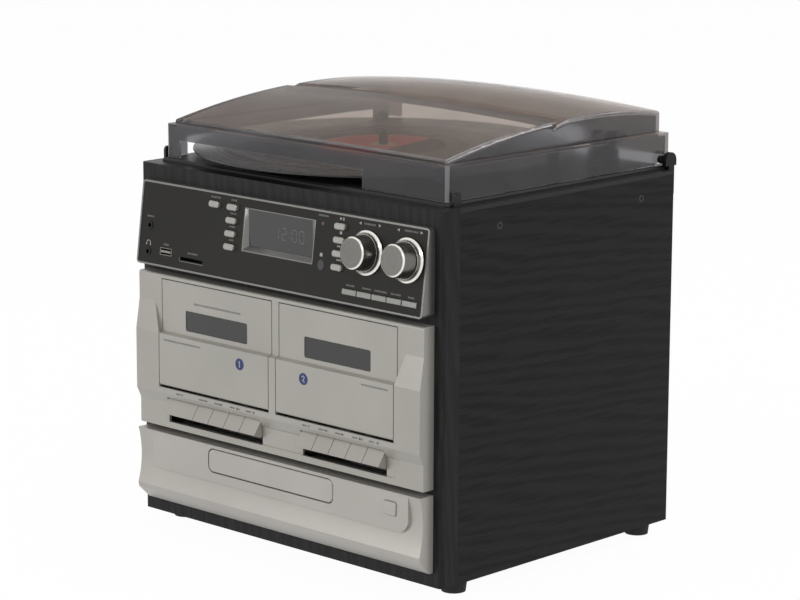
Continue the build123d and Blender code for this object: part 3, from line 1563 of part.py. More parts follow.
with BuildPart() as cd_fascia:
    for back, shrink, mode in ((0, 0, Mode.ADD), (2 * fascia_wall, fascia_wall, Mode.SUBTRACT)):
        if mode == Mode.SUBTRACT:
            # raised panel round the drawer, before the back is hollowed
            with BuildSketch(facing_front(-plateau_depth)) as plateau:
                with BuildLine():
                    Polyline(
                        (plateau_left, base + plateau_bottom),
                        (plateau_right, base + plateau_bottom),
                        (plateau_right, plateau_top + base),
                        (plateau_left, plateau_top + base),
                        close=True,
                    )
                make_face()
                corner = plateau.vertices().group_by(Axis.Y)[0].sort_by(Axis.X)[-1]
                fillet(corner, plateau_corner)
            extrude(amount=-plateau_depth / 2)
            plateau_face = faces().filter_by(Axis.Y).sort_by(Axis.Y)[0]
            left_side = plateau_face.edges().filter_by(Axis.Z).sort_by(Axis.X)[0]
            chamfer(left_side, plateau_slant, plateau_slant_depth, reference=plateau_face)
        with BuildSketch(facing_right(0)):
            with BuildLine():
                Polyline(*cd_outline(back))
                ThreePointArc(
                    (-cd_crease_depth, base + cd_crease),
                    (-cd_waist_depth, base + cd_waist),
                    (-cd_top_depth, base + cd_top),
                )
            make_face()
            if shrink:
                offset(amount=-shrink, kind=Kind.INTERSECTION, mode=Mode.REPLACE)
        extrude(amount=half_panel - shrink, both=True, mode=mode)
    with BuildSketch(facing_front(-cd_crease_depth)):
        with Locations((drawer_x, drawer_centre_z)):
            RectangleRounded(
                drawer_width + 2 * drawer_gap,
                drawer_height + 2 * drawer_gap,
                drawer_corner + drawer_gap,
            )
        with Locations((eject_x, base + eject_rise)):
            RectangleRounded(
                eject_width + 2 * button_gap, eject_height + 2 * button_gap, pill_corner
            )
    extrude(amount=-cd_crease_depth, mode=Mode.SUBTRACT)
cd_fascia.part.label = "cd_fascia"
export_step(cd_fascia.part, "parts/cd_fascia.step")

tray_front = -plateau_depth - drawer_proud + drawer_front
tray_end = tray_front + tray_length

with BuildPart() as cd_drawer:
    with BuildSketch(facing_front(tray_front - drawer_front)):
        with Locations((drawer_x, drawer_centre_z)):
            RectangleRounded(drawer_width, drawer_height, drawer_corner)
    extrude(amount=-drawer_front)
    chamfer(faces().filter_by(Axis.Y).sort_by(Axis.Y)[0].edges(), button_edge)
    with BuildSketch(facing_up(tray_top)):
        with Locations((drawer_x, (tray_front + tray_end) / 2)):
            Rectangle(tray_width, tray_length)
    extrude(amount=-tray_thickness)
    with BuildSketch(facing_up(tray_top)):
        with Locations((drawer_x, disc_y)):
            Circle(disc_radius)
    extrude(amount=-disc_well_depth, mode=Mode.SUBTRACT)
    with BuildSketch(facing_up(tray_top)):
        with Locations((drawer_x, disc_y)):
            Circle(hub_radius + 4)
        with Locations((drawer_x, (disc_y + tray_end) / 2 + disc_well_depth)):
            Rectangle(2 * hub_radius + 8, tray_end - disc_y + 2 * disc_well_depth)
    extrude(amount=-tray_thickness, mode=Mode.SUBTRACT)
cd_drawer.part.label = "cd_drawer"
export_step(cd_drawer.part, "parts/cd_drawer.step")

with BuildPart() as eject_button:
    cap_back = -plateau_depth + fascia_wall + eject_proud
    with BuildSketch(facing_front(cap_back)):
        with Locations((eject_x, base + eject_rise)):
            RectangleRounded(eject_width, eject_height, pill_corner - button_gap)
    extrude(amount=cap_back + plateau_depth + eject_proud)
    chamfer(faces().filter_by(Axis.Y).sort_by(Axis.Y)[0].edges(), button_edge)
    with BuildSketch(facing_front(cap_back)):
        with Locations((eject_x, base + eject_rise)):
            Rectangle(plunger_width, plunger_width)
    extrude(amount=cap_back + switch_rise + board_thickness + button_play)
eject_button.part.label = "eject_button"
export_step(eject_button.part, "parts/eject_button.step")

rail_base = base + tray_bottom - running_gap - rail_ledge
rail_centre = tray_width / 2 + running_gap

with BuildPart() as cd_mechanism:
    # deck plate on four pillars
    with BuildSketch(facing_up(rail_base)):
        with Locations((drawer_x, frame_depth / 2 + rail_length / 2)):
            Rectangle(2 * (rail_centre + rail_thickness), rail_length)
    extrude(amount=-cd_deck_thickness)
    with BuildSketch(facing_up(rail_base - cd_deck_thickness)):
        with Locations((drawer_x, frame_depth / 2 + rail_length / 2)):
            with GridLocations(2 * (rail_centre - post_inset), rail_length - 4 * post_inset, 2, 2):
                Circle(post_radius)
    extrude(amount=-(rail_base - cd_deck_thickness - base - base_board_thickness))
    # rails with a ledge under the tray
    for side in (-1, 1):
        with BuildSketch(facing_front(frame_depth / 2)):
            wall = drawer_x + side * (rail_centre + rail_thickness)
            inner = drawer_x + side * rail_centre
            ledge = drawer_x + side * (rail_centre - 2 * rail_ledge)
            with BuildLine():
                Polyline(
                    (wall, rail_base),
                    (wall, tray_top + 2 * running_gap),
                    (inner, tray_top + 2 * running_gap),
                    (inner, rail_base + rail_ledge),
                    (ledge, rail_base + rail_ledge),
                    (ledge, rail_base),
                    close=True,
                )
            make_face()
        extrude(amount=-rail_length)
    # spindle motor, and the bridge that clamps a disc from above
    with BuildSketch(facing_up(rail_base)):
        with Locations((drawer_x, disc_y)):
            Circle(hub_radius)
    extrude(amount=rail_ledge + tray_thickness - disc_well_depth - running_gap)
    bridge_base = tray_top + 2 * running_gap
    with BuildSketch(facing_up(bridge_base)):
        with Locations((drawer_x, disc_y)):
            Rectangle(2 * (rail_centre + rail_thickness), 2 * hub_radius)
    extrude(amount=cd_deck_thickness)
cd_mechanism.part.label = "cd_mechanism"
export_step(cd_mechanism.part, "parts/cd_mechanism.step")

# ---------------------------------------------------------------- inside and rear

rear_block_height = terminal_height - 6
main_board_top = base + phono_rise - rear_block_height / 2
inner_back = cabinet_depth - back_thickness

with BuildPart() as electronics:
    # control board with its push switches and rotary encoders
    with BuildSketch(on_panel(board_front)):
        with Locations((control_board_x, control_length / 2)):
            Rectangle(control_board_width, control_length - 4 * surround_wall)
        with Locations((card_x, card_rise), (usb_x, usb_rise)):
            Rectangle(card_width + 2, 2.5 * card_height, mode=Mode.SUBTRACT)
    extrude(amount=-board_thickness)
    with BuildSketch(on_panel(board_front)):
        with Locations(*(pill_places + strip_places)):
            Rectangle(plunger_width, plunger_width)
    extrude(amount=switch_rise)
    with BuildSketch(on_panel(board_front)):
        with Locations(*knob_places):
            Rectangle(encoder_width, encoder_width)
    extrude(amount=plate_back - board_front)
    with BuildSketch(on_panel(plate_back)):
        with Locations(*knob_places):
            Circle(knob_shaft_radius + fit_gap)
    extrude(amount=-(shaft_reach + fit_gap - face_plate), mode=Mode.SUBTRACT)
    # display module between the board and the glass
    with BuildSketch(facing_right(display_x)):
        low = base + glass_bottom + bezel_wall
        high = base + glass_top - bezel_wall
        with BuildLine():
            Polyline(
                (glass_back, low),
                (glass_back, high),
                (panel_y(high, board_front), high),
                (panel_y(low, board_front), low),
                close=True,
            )
        make_face()
    extrude(amount=glass_width / 2 - bezel_wall, both=True)
    # small board with the eject switch, on the face of the frame
    with BuildSketch(facing_front(-board_thickness)):
        switch_board_end = half_panel - fascia_wall - fit_gap
        with Locations(((eject_x - eject_width + switch_board_end) / 2, base + eject_rise)):
            Rectangle(switch_board_end - eject_x + eject_width, eject_height)
    extrude(amount=-board_thickness)
    with BuildSketch(facing_front(-board_thickness)):
        with Locations((eject_x, base + eject_rise)):
            Rectangle(plunger_width, plunger_width)
    extrude(amount=switch_rise)
    # main board under the rear sockets, on pillars
    with BuildSketch(facing_up(main_board_top)):
        with Locations((main_board_x, inner_back - main_board_depth / 2)):
            Rectangle(main_board_width, main_board_depth)
    extrude(amount=-board_thickness)
    with BuildSketch(facing_up(main_board_top - board_thickness)):
        with Locations((main_board_x, inner_back - main_board_depth / 2)):
            with GridLocations(main_board_width - 2 * post_inset, main_board_depth - 2 * post_inset, 2, 2):
                Circle(post_radius)
    extrude(amount=-(main_board_top - board_thickness - base - base_board_thickness))
    # mains transformer: core and bobbin
    with BuildSketch(facing_up(base + base_board_thickness)):
        with Locations((transformer_x, transformer_y)):
            Rectangle(transformer_width, transformer_depth)
    extrude(amount=transformer_height)
    with BuildSketch(facing_up(base + base_board_thickness + transformer_height / 5)):
        with Locations((transformer_x, transformer_y)):
            Rectangle(0.6 * transformer_width, 1.5 * transformer_depth)
    extrude(amount=0.6 * transformer_height)
electronics.part.label = "electronics"
export_step(electronics.part, "parts/electronics.step")

with BuildPart() as rear_sockets:
    # a pair of phono sockets on one block: collars through the panel, barrels behind it
    with BuildSketch(facing_front(inner_back)):
        with Locations((phono_x, base + phono_rise)):
            Rectangle(2 * phono_pitch, rear_block_height)
    extrude(amount=phono_pitch)
    with BuildSketch(facing_front(inner_back)):
        with Locations((phono_x, base + phono_rise)):
            with GridLocations(phono_pitch, 1, 2, 1):
                Circle(phono_collar_radius)
    extrude(amount=-back_thickness)
    with BuildSketch(facing_front(cabinet_depth)):
        with Locations((phono_x, base + phono_rise)):
            with GridLocations(phono_pitch, 1, 2, 1):
                Circle(phono_radius)
    extrude(amount=-phono_length)
    with BuildSketch(facing_front(cabinet_depth + phono_length)):
        with Locations((phono_x, base + phono_rise)):
            with GridLocations(phono_pitch, 1, 2, 1):
                Circle(phono_bore_radius)
    extrude(amount=phono_pitch, mode=Mode.SUBTRACT)
    # loudspeaker terminals
    with BuildSketch(facing_front(cabinet_depth)):
        with Locations((terminal_x, base + phono_rise)):
            Rectangle(terminal_width, terminal_height)
    extrude(amount=-2)
    with BuildSketch(facing_front(cabinet_depth)):
        with Locations((terminal_x, base + phono_rise)):
            Rectangle(terminal_width - 6 - 2 * fit_gap, terminal_height - 6 - 2 * fit_gap)
    extrude(amount=phono_pitch)
    with BuildSketch(facing_front(cabinet_depth + 2)):
        with Locations((terminal_x, base + phono_rise)):
            with GridLocations(terminal_width / 4, 1, 4, 1):
                Rectangle(terminal_width / 7, terminal_height - 10)
    extrude(amount=-2.5)
    # mains inlet with two pins
    with BuildSketch(facing_front(cabinet_depth)):
        with Locations((inlet_x, base + inlet_rise)):
            SlotOverall(inlet_width, inlet_height)
    extrude(amount=inlet_depth + back_thickness)
    with BuildSketch(facing_front(cabinet_depth)):
        with Locations((inlet_x, base + inlet_rise)):
            SlotOverall(inlet_width - 3, inlet_height - 3)
            with GridLocations(inlet_height / 1.2, 1, 2, 1):
                Circle(1.2, mode=Mode.SUBTRACT)
    extrude(amount=inlet_depth, mode=Mode.SUBTRACT)
rear_sockets.part.label = "rear_sockets"
export_step(rear_sockets.part, "parts/rear_sockets.step")
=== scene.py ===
import json
import math
import random

import bpy
from mathutils import Matrix, Vector


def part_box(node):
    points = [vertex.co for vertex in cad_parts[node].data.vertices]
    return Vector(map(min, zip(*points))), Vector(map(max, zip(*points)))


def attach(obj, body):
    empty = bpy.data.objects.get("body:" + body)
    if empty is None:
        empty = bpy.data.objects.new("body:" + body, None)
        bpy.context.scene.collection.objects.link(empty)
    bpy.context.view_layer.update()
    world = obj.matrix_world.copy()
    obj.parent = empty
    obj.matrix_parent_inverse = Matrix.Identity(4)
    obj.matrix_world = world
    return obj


# Looks of the stereo music centre: finishes, printed marks, floor, light and camera, around the
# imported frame. Lengths are in metres, except where a name ends in mm or MM. The places and sizes of
# the printed marks are in millimetres.

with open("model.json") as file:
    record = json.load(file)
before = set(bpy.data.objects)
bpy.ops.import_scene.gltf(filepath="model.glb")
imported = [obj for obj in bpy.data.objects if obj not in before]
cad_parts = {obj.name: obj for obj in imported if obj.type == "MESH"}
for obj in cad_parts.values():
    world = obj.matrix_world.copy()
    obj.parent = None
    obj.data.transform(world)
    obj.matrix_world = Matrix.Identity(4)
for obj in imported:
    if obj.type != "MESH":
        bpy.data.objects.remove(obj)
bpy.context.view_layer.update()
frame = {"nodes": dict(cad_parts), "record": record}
nodes = frame["nodes"]
random.seed(12)

MM = 0.001
frame_low, frame_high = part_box("front_frame")
centre_x = (frame_low.x + frame_high.x) / 2
front_y = frame_low.y
base_z = frame_low.z
record_low, record_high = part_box("record")
spindle = Vector(((record_low.x + record_high.x) / 2, (record_low.y + record_high.y) / 2, 0))


# ---------------------------------------------------------------- material helpers

def shade(red, green, blue):
    """A display colour of 0 to 255 as Blender's linear colour."""
    channels = []
    for value in (red, green, blue):
        v = value / 255
        channels.append(v / 12.92 if v <= 0.04045 else ((v + 0.055) / 1.055) ** 2.4)
    return (*channels, 1.0)


def new_material(name):
    """A material with its node tree, its Principled shader and one object-space coordinate node."""
    material = bpy.data.materials.new(name)
    material.use_nodes = True
    tree = material.node_tree
    shader = tree.nodes["Principled BSDF"]
    where = tree.nodes.new("ShaderNodeTexCoord").outputs["Object"]
    return material, tree, shader, where


def node(tree, kind, inputs=None, **settings):
    """A node of one kind, with its settings, and its inputs given as values or as outputs to link."""
    made = tree.nodes.new(kind)
    for key, value in settings.items():
        setattr(made, key, value)
    for key, value in (inputs or {}).items():
        if isinstance(value, bpy.types.NodeSocket):
            tree.links.new(value, made.inputs[key])
        else:
            made.inputs[key].default_value = value
    return made


def stretched(tree, where, scale, offset=(0, 0, 0)):
    """Coordinates counted from an offset and multiplied by a scale along each axis."""
    return vector_math(tree, "MULTIPLY", vector_math(tree, "SUBTRACT", where, offset), scale)


def noise(tree, where, scale, detail=3.0, roughness=0.5):
    """Cloudy noise of 0 to 1, with a scale in cycles for each unit of the coordinates."""
    return node(tree, "ShaderNodeTexNoise", {
        "Vector": where, "Scale": scale, "Detail": detail, "Roughness": roughness,
    }).outputs["Fac"]


def between(tree, factor, low, high, from_low=0.3, from_high=0.7):
    """A factor turned into a number between low and high."""
    return node(tree, "ShaderNodeMapRange", {
        "Value": factor, "From Min": from_low, "From Max": from_high, "To Min": low, "To Max": high,
    }).outputs["Result"]


def two_tone(tree, shader, factor, dark, light):
    """The base colour, spread between two colours by a factor."""
    tone = ramp(tree, between(tree, factor, 0.0, 1.0), [(0.0, dark), (1.0, light)])
    tree.links.new(tone, shader.inputs["Base Color"])


def uneven_gloss(tree, shader, factor, low, high):
    """The roughness, spread between two numbers by a factor."""
    tree.links.new(between(tree, factor, low, high), shader.inputs["Roughness"])


def ramp(tree, factor, stops):
    """A factor turned into a colour through (position, colour) stops."""
    made = node(tree, "ShaderNodeValToRGB", {"Fac": factor})
    elements = made.color_ramp.elements
    while len(elements) < len(stops):
        elements.new(0.5)
    for element, (position, colour) in zip(elements, stops):
        element.position = position
        element.color = colour
    return made.outputs["Color"]


def maths(tree, operation, *values):
    """One step of arithmetic on numbers or outputs."""
    return node(tree, "ShaderNodeMath", dict(enumerate(values)), operation=operation).outputs[0]


def vector_math(tree, operation, *values, output="Vector"):
    """One step of vector arithmetic on vectors or outputs."""
    return node(tree, "ShaderNodeVectorMath", dict(enumerate(values)), operation=operation).outputs[output]


def mixed(tree, factor, first, second):
    """A colour between two others; each may be a value or an output."""
    made = node(tree, "ShaderNodeMix", {0: factor}, data_type="RGBA")
    colours = [socket for socket in made.inputs if socket.type == "RGBA"]
    for socket, value in zip(colours, (first, second)):
        if isinstance(value, bpy.types.NodeSocket):
            tree.links.new(value, socket)
        else:
            socket.default_value = value
    return made.outputs[2]


# how alike the rounded and the true normal are at an edge, and on open surface
EDGE_COSINE = 0.8
OPEN_COSINE = 0.99


def along_edges(tree, radius):
    """A factor that is 1 within a radius of an edge and 0 on open surface."""
    rounded = node(tree, "ShaderNodeBevel", {"Radius": radius}, samples=6).outputs["Normal"]
    true = tree.nodes.new("ShaderNodeNewGeometry").outputs["Normal"]
    alike = vector_math(tree, "DOT_PRODUCT", rounded, true, output="Value")
    return between(tree, alike, 1.0, 0.0, EDGE_COSINE, OPEN_COSINE)


def relief(tree, shader, height, distance, strength=1.0, edge=0.0):
    """Bump from a height, over edges that are rounded by a small radius."""
    inputs = {"Height": height, "Distance": distance, "Strength": strength}
    if edge:
        inputs["Normal"] = node(tree, "ShaderNodeBevel", {"Radius": edge}, samples=4).outputs["Normal"]
    bump = node(tree, "ShaderNodeBump", inputs)
    tree.links.new(bump.outputs["Normal"], shader.inputs["Normal"])


def set_inputs(shader, **values):
    """Sets sockets of a shader by name, with _ for each space."""
    for key, value in values.items():
        shader.inputs[key.replace("_", " ")].default_value = value


def tinted(colour, factor):
    """A colour made lighter or darker by a factor."""
    return (*(min(1.0, c * factor) for c in colour[:3]), 1.0)


# ---------------------------------------------------------------- materials

FINE_RELIEF = 0.00003


def metallic_paint(name, colour, metallic=0.28, roughness=0.36):
    """Silver paint: fine flakes that vary in tone and gloss, and an orange-peel surface."""
    material, tree, shader, where = new_material(name)
    flakes = noise(tree, where, 2600, detail=2)
    clouds = noise(tree, where, 14, detail=3)
    both = maths(tree, "ADD", flakes, clouds)
    tone = ramp(tree, between(tree, both, 0.0, 1.0, 0.7, 1.3),
                [(0.0, tinted(colour, 0.93)), (1.0, tinted(colour, 1.07))])
    tree.links.new(tone, shader.inputs["Base Color"])
    uneven_gloss(tree, shader, flakes, roughness - 0.05, roughness + 0.06)
    set_inputs(shader, Metallic=metallic, Coat_Weight=0.15, Coat_Roughness=0.25)
    relief(tree, shader, flakes, FINE_RELIEF, 0.35, 0.0004)
    return material


def moulded_plastic(name, colour, roughness=0.5, grain=2200, specular=0.5):
    """Injection-moulded plastic with a spark-eroded grain and slightly uneven gloss."""
    material, tree, shader, where = new_material(name)
    pebbles = noise(tree, where, grain, detail=4, roughness=0.6)
    patches = noise(tree, where, 9, detail=2)
    two_tone(tree, shader, patches, tinted(colour, 0.9), tinted(colour, 1.1))
    uneven_gloss(tree, shader, pebbles, roughness - 0.08, roughness + 0.08)
    set_inputs(shader, Specular_IOR_Level=specular)
    relief(tree, shader, pebbles, 0.00005, 0.5, 0.0003)
    return material


def along_grain(tree, where, axis, across, along):
    """Coordinates scaled by one number across the grain and by another along it."""
    scale = [across] * 3
    scale[axis] = along
    return stretched(tree, where, scale)


def black_ash(name, axis, dark, light):
    """Black ash foil: short dark fibres, pores and a faint wavy figure, along one axis."""
    material, tree, shader, where = new_material(name)
    fibres = noise(tree, along_grain(tree, where, axis, 460.0, 26.0), 1.0, detail=5, roughness=0.65)
    pores = noise(tree, along_grain(tree, where, axis, 900.0, 34.0), 1.0, detail=2)
    figure = node(tree, "ShaderNodeTexWave", {
        "Vector": along_grain(tree, where, axis, 60.0, 7.0), "Scale": 1.0, "Distortion": 9.0,
        "Detail": 3.0, "Detail Scale": 0.7,
    }, bands_direction="DIAGONAL").outputs["Fac"]
    grain = between(tree, maths(tree, "MULTIPLY_ADD", figure, 0.16, fibres), 0.0, 1.0, 0.47, 0.7)
    tone = ramp(tree, grain, [(0.0, dark), (0.4, tinted(light, 0.62)), (1.0, light)])
    tree.links.new(tone, shader.inputs["Base Color"])
    uneven_gloss(tree, shader, fibres, 0.42, 0.62)
    set_inputs(shader, Specular_IOR_Level=0.16)
    grooves = maths(tree, "MULTIPLY", between(tree, pores, 0.0, 1.0, 0.32, 0.46), fibres)
    relief(tree, shader, grooves, 0.0002, 0.6, 0.0004)
    return material


def smoked_acrylic(name, dark, light, ior, transmission, roughness):
    """A sheet of the smoked dust cover, with soft moulding waves and a painted highlight: a lighter base
    colour along its edges.
    """
    material, tree, shader, where = new_material(name)
    waves = noise(tree, where, 22, detail=1)
    tone = ramp(tree, between(tree, waves, 0.0, 1.0), [(0.0, dark), (1.0, light)])
    # painted highlight: the base colour turns light grey within a small radius of every edge
    edge = mixed(tree, along_edges(tree, 0.0009), tone, shade(206, 204, 206))
    tree.links.new(edge, shader.inputs["Base Color"])
    uneven_gloss(tree, shader, waves, roughness * 0.8, roughness * 1.3)
    set_inputs(shader, IOR=ior, Transmission_Weight=transmission)
    relief(tree, shader, waves, 0.0004, 0.06)
    return material


def from_spindle(tree, where):
    """Distance from the record's axis, in metres."""
    return vector_math(tree, "LENGTH", stretched(tree, where, (1, 1, 0), spindle), output="Value")


GROOVE_TURNS = 5600.0  # radians of groove ripple per metre of radius


def grooved_vinyl():
    """Black vinyl: fine grooves, bands of different gloss for the tracks, and tiny glints."""
    material, tree, shader, where = new_material("grooved_vinyl")
    radius = from_spindle(tree, where)
    line = node(tree, "ShaderNodeCombineXYZ", {"X": radius}).outputs[0]
    tracks = noise(tree, line, 90, detail=4, roughness=0.7)
    ripple = maths(tree, "SINE", maths(tree, "MULTIPLY", radius, GROOVE_TURNS))
    glints = noise(tree, where, 1500, detail=1)
    rough = maths(tree, "ADD", between(tree, tracks, 0.2, 0.36), between(tree, glints, -0.05, 0.05))
    tree.links.new(rough, shader.inputs["Roughness"])
    tone = ramp(tree, tracks, [(0.3, shade(17, 16, 16)), (0.7, shade(32, 30, 29))])
    tree.links.new(tone, shader.inputs["Base Color"])
    relief(tree, shader, maths(tree, "MULTIPLY_ADD", glints, 0.6, ripple), 0.00006, 0.35)
    return material


# the label: how far its rings reach, where its dark field starts and to which side, and its pale centre
RINGS_REACH = 0.05
FIELD_START = 0.017
FIELD_SIDE = (0.974, 0.227, 0.0)
PALE_CENTRE = 0.0105


def record_label():
    """A plain paper label: a red ground with a dark field at one side, a thin ring and a pale centre."""
    material, tree, shader, where = new_material("record_label")
    radius = from_spindle(tree, where)
    red, dark, cream = shade(255, 122, 118), shade(52, 40, 42), shade(236, 216, 196)
    rings = ramp(tree, maths(tree, "MULTIPLY", radius, 1 / RINGS_REACH), [
        (0.0, cream), (0.2, cream), (0.215, red), (0.88, red), (0.9, cream), (0.925, cream), (0.94, red)])
    off_centre = stretched(tree, where, (1, 1, 1), spindle)
    across = vector_math(tree, "DOT_PRODUCT", off_centre, FIELD_SIDE, output="Value")
    paper = noise(tree, where, 900, detail=3)
    field = maths(tree, "GREATER_THAN", maths(tree, "MULTIPLY_ADD", paper, 0.001, across), FIELD_START)
    outside = maths(tree, "GREATER_THAN", radius, PALE_CENTRE)
    part = maths(tree, "MULTIPLY", field, outside)
    tree.links.new(mixed(tree, part, rings, dark), shader.inputs["Base Color"])
    uneven_gloss(tree, shader, paper, 0.45, 0.6)
    relief(tree, shader, paper, FINE_RELIEF, 0.4)
    return material


def dark_window(name, colour, roughness=0.12):
    """A glossy tinted window with a faint cloudy depth."""
    material, tree, shader, where = new_material(name)
    depth = noise(tree, where, 24, detail=2)
    two_tone(tree, shader, depth, tinted(colour, 0.86), tinted(colour, 1.16))
    uneven_gloss(tree, shader, depth, roughness - 0.03, roughness + 0.05)
    set_inputs(shader, Coat_Weight=0.4, Coat_Roughness=0.05)
    relief(tree, shader, noise(tree, where, 2000), 0.00001, 0.2)
    return material


def bare_metal(name, colour, roughness=0.3, grain=(900, 900, 60)):
    """Metal with fine drawn lines along one axis."""
    material, tree, shader, where = new_material(name)
    lines = noise(tree, stretched(tree, where, grain), 1.0, detail=4)
    two_tone(tree, shader, lines, tinted(colour, 0.88), tinted(colour, 1.08))
    uneven_gloss(tree, shader, lines, roughness - 0.06, roughness + 0.08)
    set_inputs(shader, Metallic=1.0)
    relief(tree, shader, lines, FINE_RELIEF, 0.3, 0.0002)
    return material


def turned_metal(name, colour, knob):
    """A knob's bright finish, turned: fine rings about its own slanted axis, with a painted highlight: a much
    lighter base colour along its edges.
    """
    material, tree, shader, where = new_material(name)
    low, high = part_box(knob)
    offset = vector_math(tree, "SUBTRACT", where, (low + high) / 2)
    along = vector_math(tree, "DOT_PRODUCT", offset, panel_normal, output="Value")
    shaft = node(tree, "ShaderNodeVectorMath", {0: panel_normal, "Scale": along}, operation="SCALE")
    aside = vector_math(tree, "SUBTRACT", offset, shaft.outputs[0])
    radius = vector_math(tree, "LENGTH", aside, output="Value")
    rings_at = node(tree, "ShaderNodeCombineXYZ", {"X": radius, "Y": along}).outputs[0]
    rings = noise(tree, rings_at, 2600, detail=3)
    tone = ramp(tree, between(tree, rings, 0.0, 1.0),
                [(0.0, tinted(colour, 0.94)), (1.0, tinted(colour, 1.05))])
    # painted highlight: the base colour is several times lighter within a small radius of an edge
    rim_highlight = mixed(tree, along_edges(tree, 0.0008), tone, tinted(colour, 3.6))
    tree.links.new(rim_highlight, shader.inputs["Base Color"])
    uneven_gloss(tree, shader, rings, 0.2, 0.3)
    set_inputs(shader, Metallic=0.9)
    relief(tree, shader, rings, FINE_RELIEF, 0.3, 0.0005)
    return material


def soft_rubber(name, colour):
    """Dull rubber with a dusty surface."""
    material, tree, shader, where = new_material(name)
    dust = noise(tree, where, 700, detail=5, roughness=0.7)
    two_tone(tree, shader, dust, tinted(colour, 0.8), tinted(colour, 1.25))
    uneven_gloss(tree, shader, dust, 0.7, 0.9)
    relief(tree, shader, dust, 0.0001, 0.5, 0.0005)
    return material


def ink(name, colour, roughness=0.5):
    """Screen-printed ink, a little uneven."""
    material, tree, shader, where = new_material(name)
    spread = noise(tree, where, 1800, detail=3)
    two_tone(tree, shader, spread, tinted(colour, 0.9), tinted(colour, 1.08))
    uneven_gloss(tree, shader, spread, roughness - 0.06, roughness + 0.08)
    return material


# ---------------------------------------------------------------- where things lie

def middle_x(name):
    """The x half way across a node."""
    low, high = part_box(name)
    return (low.x + high.x) / 2


def axes_at(spot, right, up, out):
    """The frame that has its origin at a spot and these three directions as its axes."""
    return Matrix.Translation(spot) @ Matrix((right, up, out)).transposed().to_4x4()


def on_front(name, x, z):
    """Frame of a spot on a node's front, seen from the front: x right, y up the face, z out of it."""
    found, spot, normal, _ = nodes[name].ray_cast(Vector((x, front_y - 1, z)), Vector((0, 1, 0)))
    if not found:
        raise RuntimeError(f"nothing of {name} is at x {x:.4f}, z {z:.4f}")
    right = Vector((1, 0, 0))
    right = (right - normal * right.dot(normal)).normalized()
    return axes_at(spot, right, normal.cross(right), normal)


# the lean of the control panel, from two spots on a bare part of its plate
panel_low, panel_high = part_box("panel_surround")
PANEL_BARE_X_MM = -100.0
SPOT_ABOVE_BOTTOM = 0.025
SPOT_BELOW_TOP = 0.012
bare_x = centre_x + PANEL_BARE_X_MM * MM
lower_spot = on_front("control_panel", bare_x, panel_low.z + SPOT_ABOVE_BOTTOM)
upper_spot = on_front("control_panel", bare_x, panel_high.z - SPOT_BELOW_TOP)
panel_up = (upper_spot.translation - lower_spot.translation).normalized()
panel_normal = Vector((1, 0, 0)).cross(panel_up)


def on_panel(x_mm, rise_mm):
    """Frame of a spot on the control panel: x from the centre line, rise up the slope."""
    z = panel_low.z + rise_mm * MM * panel_up.z
    along = (z - lower_spot.translation.z) / panel_up.z
    spot = lower_spot.translation + panel_up * along
    spot.x = centre_x + x_mm * MM
    return axes_at(spot, Vector((1, 0, 0)), panel_up, panel_normal)


# ---------------------------------------------------------------- finishes of the CAD nodes

KNOBS = ("tuning_knob", "volume_knob")
DOORS = ("cassette_door_1", "cassette_door_2")

silver = metallic_paint("silver_paint", shade(168, 165, 158))
# painted light: a lighter copy of the silver paint, which makes the lower parts of the front brighter
lit_low_silver = metallic_paint("lit_low_silver_paint", shade(179, 175, 169))
trim_silver = metallic_paint("trim_paint", shade(122, 121, 118), metallic=0.7, roughness=0.3)
key_silver = metallic_paint("key_paint", shade(166, 163, 156), metallic=0.3, roughness=0.4)
button_silver = metallic_paint("button_paint", shade(160, 158, 153), metallic=0.5, roughness=0.26)
preset_silver = metallic_paint("preset_paint", shade(134, 134, 130), metallic=0.5, roughness=0.3)
bezel_silver = metallic_paint("bezel_paint", shade(118, 117, 114), metallic=0.8, roughness=0.3)
black_parts = moulded_plastic("black_parts", shade(26, 26, 27), roughness=0.45, specular=0.2)

finishes = {
    "frame_plastic": black_ash("frame_ash", 2, shade(25, 25, 25), shade(40, 40, 40)),
    "black_board": black_ash("board_ash", 1, shade(2, 2, 2), shade(31, 31, 30)),
    "back_plastic": moulded_plastic("back_plastic", shade(32, 32, 33), roughness=0.6, grain=1500),
    "foot_plastic": soft_rubber("foot_rubber", shade(24, 24, 25)),
    "steel": bare_metal("zinc_plate", shade(150, 150, 152), roughness=0.35),
    "deck_plastic": moulded_plastic("deck_plastic", shade(34, 33, 33), roughness=0.42, specular=0.25),
    "rubber": soft_rubber("belt_rubber", shade(20, 20, 20)),
    "silver_plastic": silver,
    "panel_plastic": moulded_plastic(
        "panel_plastic", shade(41, 40, 37), roughness=0.4, grain=2600, specular=0.12),
    "display_glass": dark_window("display_glass", shade(42, 41, 42)),
    "inner_plastic": black_parts,
    "socket_metal": bare_metal("nickel", shade(190, 188, 180), roughness=0.25),
    "board_laminate": moulded_plastic("board_laminate", shade(30, 84, 52), roughness=0.4, grain=900),
    "smoked_acrylic": smoked_acrylic(
        "smoked_top", shade(166, 155, 148), shade(176, 165, 157),
        ior=1.05, transmission=0.84, roughness=0.035),
    "platter_plastic": moulded_plastic("platter_plastic", shade(34, 34, 35), roughness=0.5),
    "vinyl": grooved_vinyl(),
    "brass": bare_metal("brass", shade(190, 156, 96), roughness=0.25, grain=(900, 900, 900)),
    "arm_aluminium": bare_metal("arm_aluminium", shade(176, 176, 180), roughness=0.28, grain=(900, 60, 900)),
    "button_plastic": button_silver,
}
slot_of = {row["node"]: row["material_slot"] for row in frame["record"]["subparts"]}
for name, cad in nodes.items():
    cad.data.materials.clear()
    cad.data.materials.append(finishes[slot_of[name]])
for name in KNOBS:
    nodes[name].data.materials[0] = turned_metal(f"{name}_finish", shade(112, 110, 106), name)
